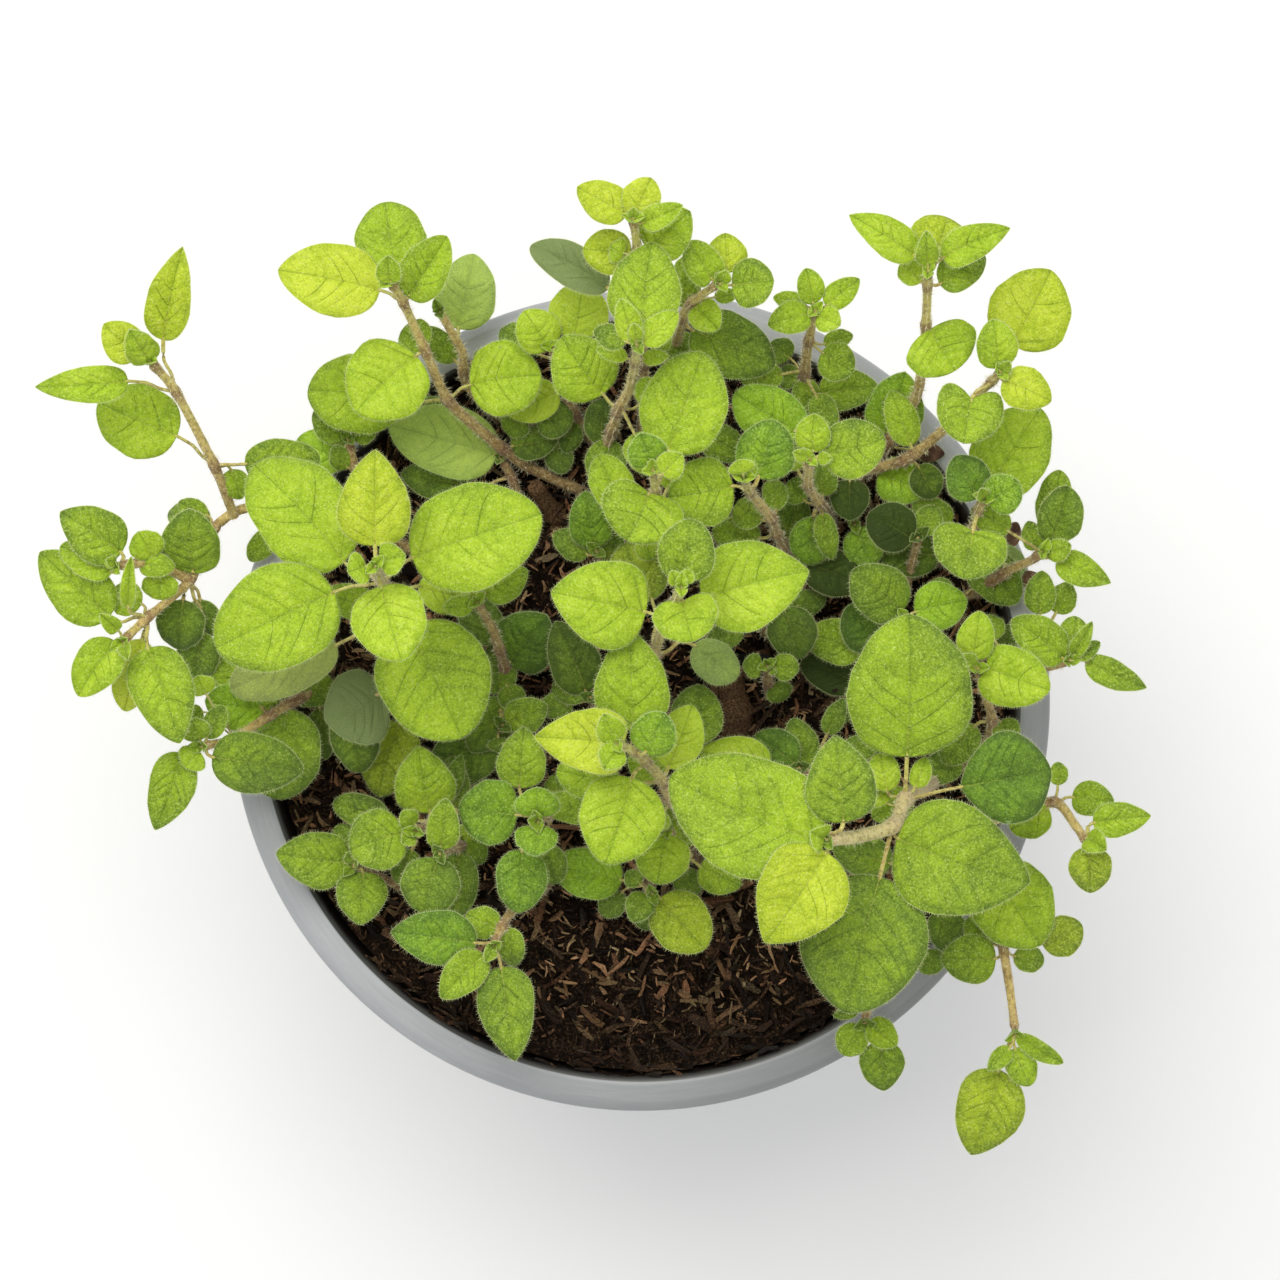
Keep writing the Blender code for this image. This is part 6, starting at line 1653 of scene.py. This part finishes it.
def strew(heap, lengths, widths, rng, rings, corners, highest):
    """Bent, ragged chips on the soil, each with its own brown."""
    count = len(lengths)
    angle = rng.uniform(0, 2 * math.pi, count)
    edge = SOIL_HIGH_R + OVER_LIP * (frontness(SOIL_HIGH_R * np.sin(angle)) > 0.8)
    reach = np.minimum(edge * np.sqrt(rng.random(count)), edge + 0.2 - 0.28 * lengths)
    x, y = reach * np.cos(angle), reach * np.sin(angle)
    # near the wall a chip lies along it
    turn = np.where(reach > SOIL_HIGH_R - 0.5 * lengths, angle + math.pi / 2 + rng.normal(0, 0.3, count),
                    rng.uniform(0, math.pi, count))
    tilt, roll = rng.normal(0, 0.45, count), rng.normal(0, 1.0, count)
    deep = widths * rng.uniform(0.3, 0.7, count)
    z = np.array([peat_height(a, b) for a, b in zip(x, y)])
    z += rng.uniform(-0.2, highest, count) + 0.14 * lengths * np.abs(np.sin(tilt))
    along = np.stack([np.cos(turn) * np.cos(tilt), np.sin(turn) * np.cos(tilt), np.sin(tilt)], axis=-1)
    flat = np.stack([-np.sin(turn), np.cos(turn), np.zeros(count)], axis=-1)
    side = flat * np.cos(roll)[:, None] + np.cross(along, flat) * np.sin(roll)[:, None]
    up = np.cross(along, side)
    middle, bow = np.stack([x, y, z], axis=-1), rng.normal(0, 0.08, count) * lengths
    points = []
    for share in np.linspace(-0.5, 0.5, rings):
        size = 1.0 - 0.45 * (2 * abs(share)) ** 3
        for k in range(corners):
            a = 2 * math.pi * (k + 0.5) / corners
            ragged = rng.uniform(0.6, 1.4, (3, count))
            forward = (share + 0.06 * (ragged[2] - 1)) * lengths
            sideways = math.cos(a) * 0.6 * widths * size * ragged[0] + bow * (1 - 4 * share ** 2)
            upward = math.sin(a) * 0.6 * deep * size * ragged[1]
            place = middle + along * forward[:, None] + side * sideways[:, None]
            points.append(place + up * upward[:, None])
    points = np.stack(points, axis=1).reshape(-1, 3)
    first = np.arange(count)[:, None] * rings * corners
    faces = [(corners * r + c, corners * r + (c + 1) % corners, corners * (r + 1) + (c + 1) % corners,
              corners * (r + 1) + c) for r in range(rings - 1) for c in range(corners)]
    faces += [tuple(range(corners))[::-1], tuple(range(corners * (rings - 1), corners * rings))]
    shade = rng.random(count) ** 1.12 * np.where(lengths > 3.0, 0.84, 1.0)
    # painted shadow of the front wall: chips darker against it
    shade = shade * (1 - 0.6 * frontness(y) ** 2 * np.clip((reach - WALL_SHADOW_FROM_R) / WALL_SHADOW_RUN, 0, 1))
    look = np.stack([shade, rng.random(count), np.zeros(count), np.zeros(count)], axis=-1)
    look = np.repeat(look, rings * corners, axis=0)
    heap.add(points, [first + np.array(face) for face in faces], BARK_FINISH, look)


print("chips may lie", OVER_LIP, "mm over the lip at the front")

# %% Chips and fibres
rng = np.random.default_rng(77)
SHREDS, CHIPS = 8200, 1200
lengths = np.clip(rng.lognormal(0.84, 0.50, SHREDS), 0.9, 7.5)
widths = lengths * rng.uniform(0.14, 0.36, SHREDS)
strew(soil_heap, lengths, widths, rng, rings=3, corners=3, highest=1.5)
lengths = np.clip(rng.lognormal(1.55, 0.38, CHIPS), 2.6, 11.0)
widths = np.clip(lengths * rng.uniform(0.10, 0.24, CHIPS), 0.5, 1.5)
strew(soil_heap, lengths, widths, rng, rings=5, corners=4, highest=2.0)
print("shreds", SHREDS, "chips", CHIPS, "triangles so far", soil_heap.triangles())

# %% Moss
def on_soil(column, row, above):
    """A picture place some millimetres above the soil."""
    place = picture_place(column, row, SOIL_TOP)
    place.z = soil_height(place.x, place.y) + above
    return place


# moss is short hairs, which take the third finish of their piece: here that is moss
MOSS_PLACE, MOSS_SPREAD = (315, 705), (14, 12)
MOSS_HAIRS, MOSS_THICK = 420, 0.14
moss_finish = Finish("moss", Specular_IOR_Level=0.2)
mossy = moss_finish.noise(900.0, 3.0)
mossy = moss_finish.ramp(mossy, (0.3, (0.10, 0.12, 0.012)), (0.7, (0.30, 0.30, 0.03)))
moss_finish.surface(mossy, moss_finish.noise(700.0) * 0.2 + 0.6)
places = rng.normal(0, 1, (MOSS_HAIRS, 2)) * MOSS_SPREAD + MOSS_PLACE
roots = np.array([on_soil(*place, 0.2) for place in places])
directions = rng.normal(0, 0.8, (MOSS_HAIRS, 3)) + (0, 0, 0.9)
hairs(soil_heap, roots, directions, rng.uniform(0.5, 1.3, MOSS_HAIRS), 0.9, rng, MOSS_THICK)
print("moss hairs", MOSS_HAIRS)

# %% Old wood
# first radius in mm, the path as (column, row, height above the soil in mm), last radius
OLD_WOOD = (
    (4.4, ((733, 732, -3), (734, 708, 2.5), (729, 672, 7)), 2.4),
    (2.0, ((712, 735, -1), (716, 700, 2.5), (722, 655, 5)), 1.2),
    (0.7, ((700, 742, 0.5), (735, 722, 1.5), (770, 700, 4), (802, 678, 5)), 0.4),
    (0.6, ((745, 745, 0.5), (765, 716, 2.5), (788, 690, 3)), 0.35),
    (2.4, ((560, 520, -1), (548, 505, 4), (536, 488, 8)), 1.6),
    (1.6, ((835, 705, 0), (850, 690, 2), (872, 700, 2.5)), 1.0),
)
for radius, path, end_radius in OLD_WOOD:
    line = smooth_line([on_soil(*place) for place in path], 1.0)
    radii = [taper(radius, end_radius, k, len(line)) * rng.uniform(0.86, 1.12) for k in range(len(line))]
    shade = 0.46 if radius > 1.5 else 0.3
    tube(soil_heap, line, radii, BARK_FINISH, (shade, 0.5, 0.0, 0.0), pull=0.06)
print("pieces of old wood", len(OLD_WOOD))

# %% Soil
soil_piece = soil_heap.piece("fine_soil", [soil_finish, chip_finish, moss_finish])
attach(soil_piece, "root")
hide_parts("soil")
print("soil triangles", soil_heap.triangles())

# %% [markdown]
# The looks must not make the plant larger than its solids.
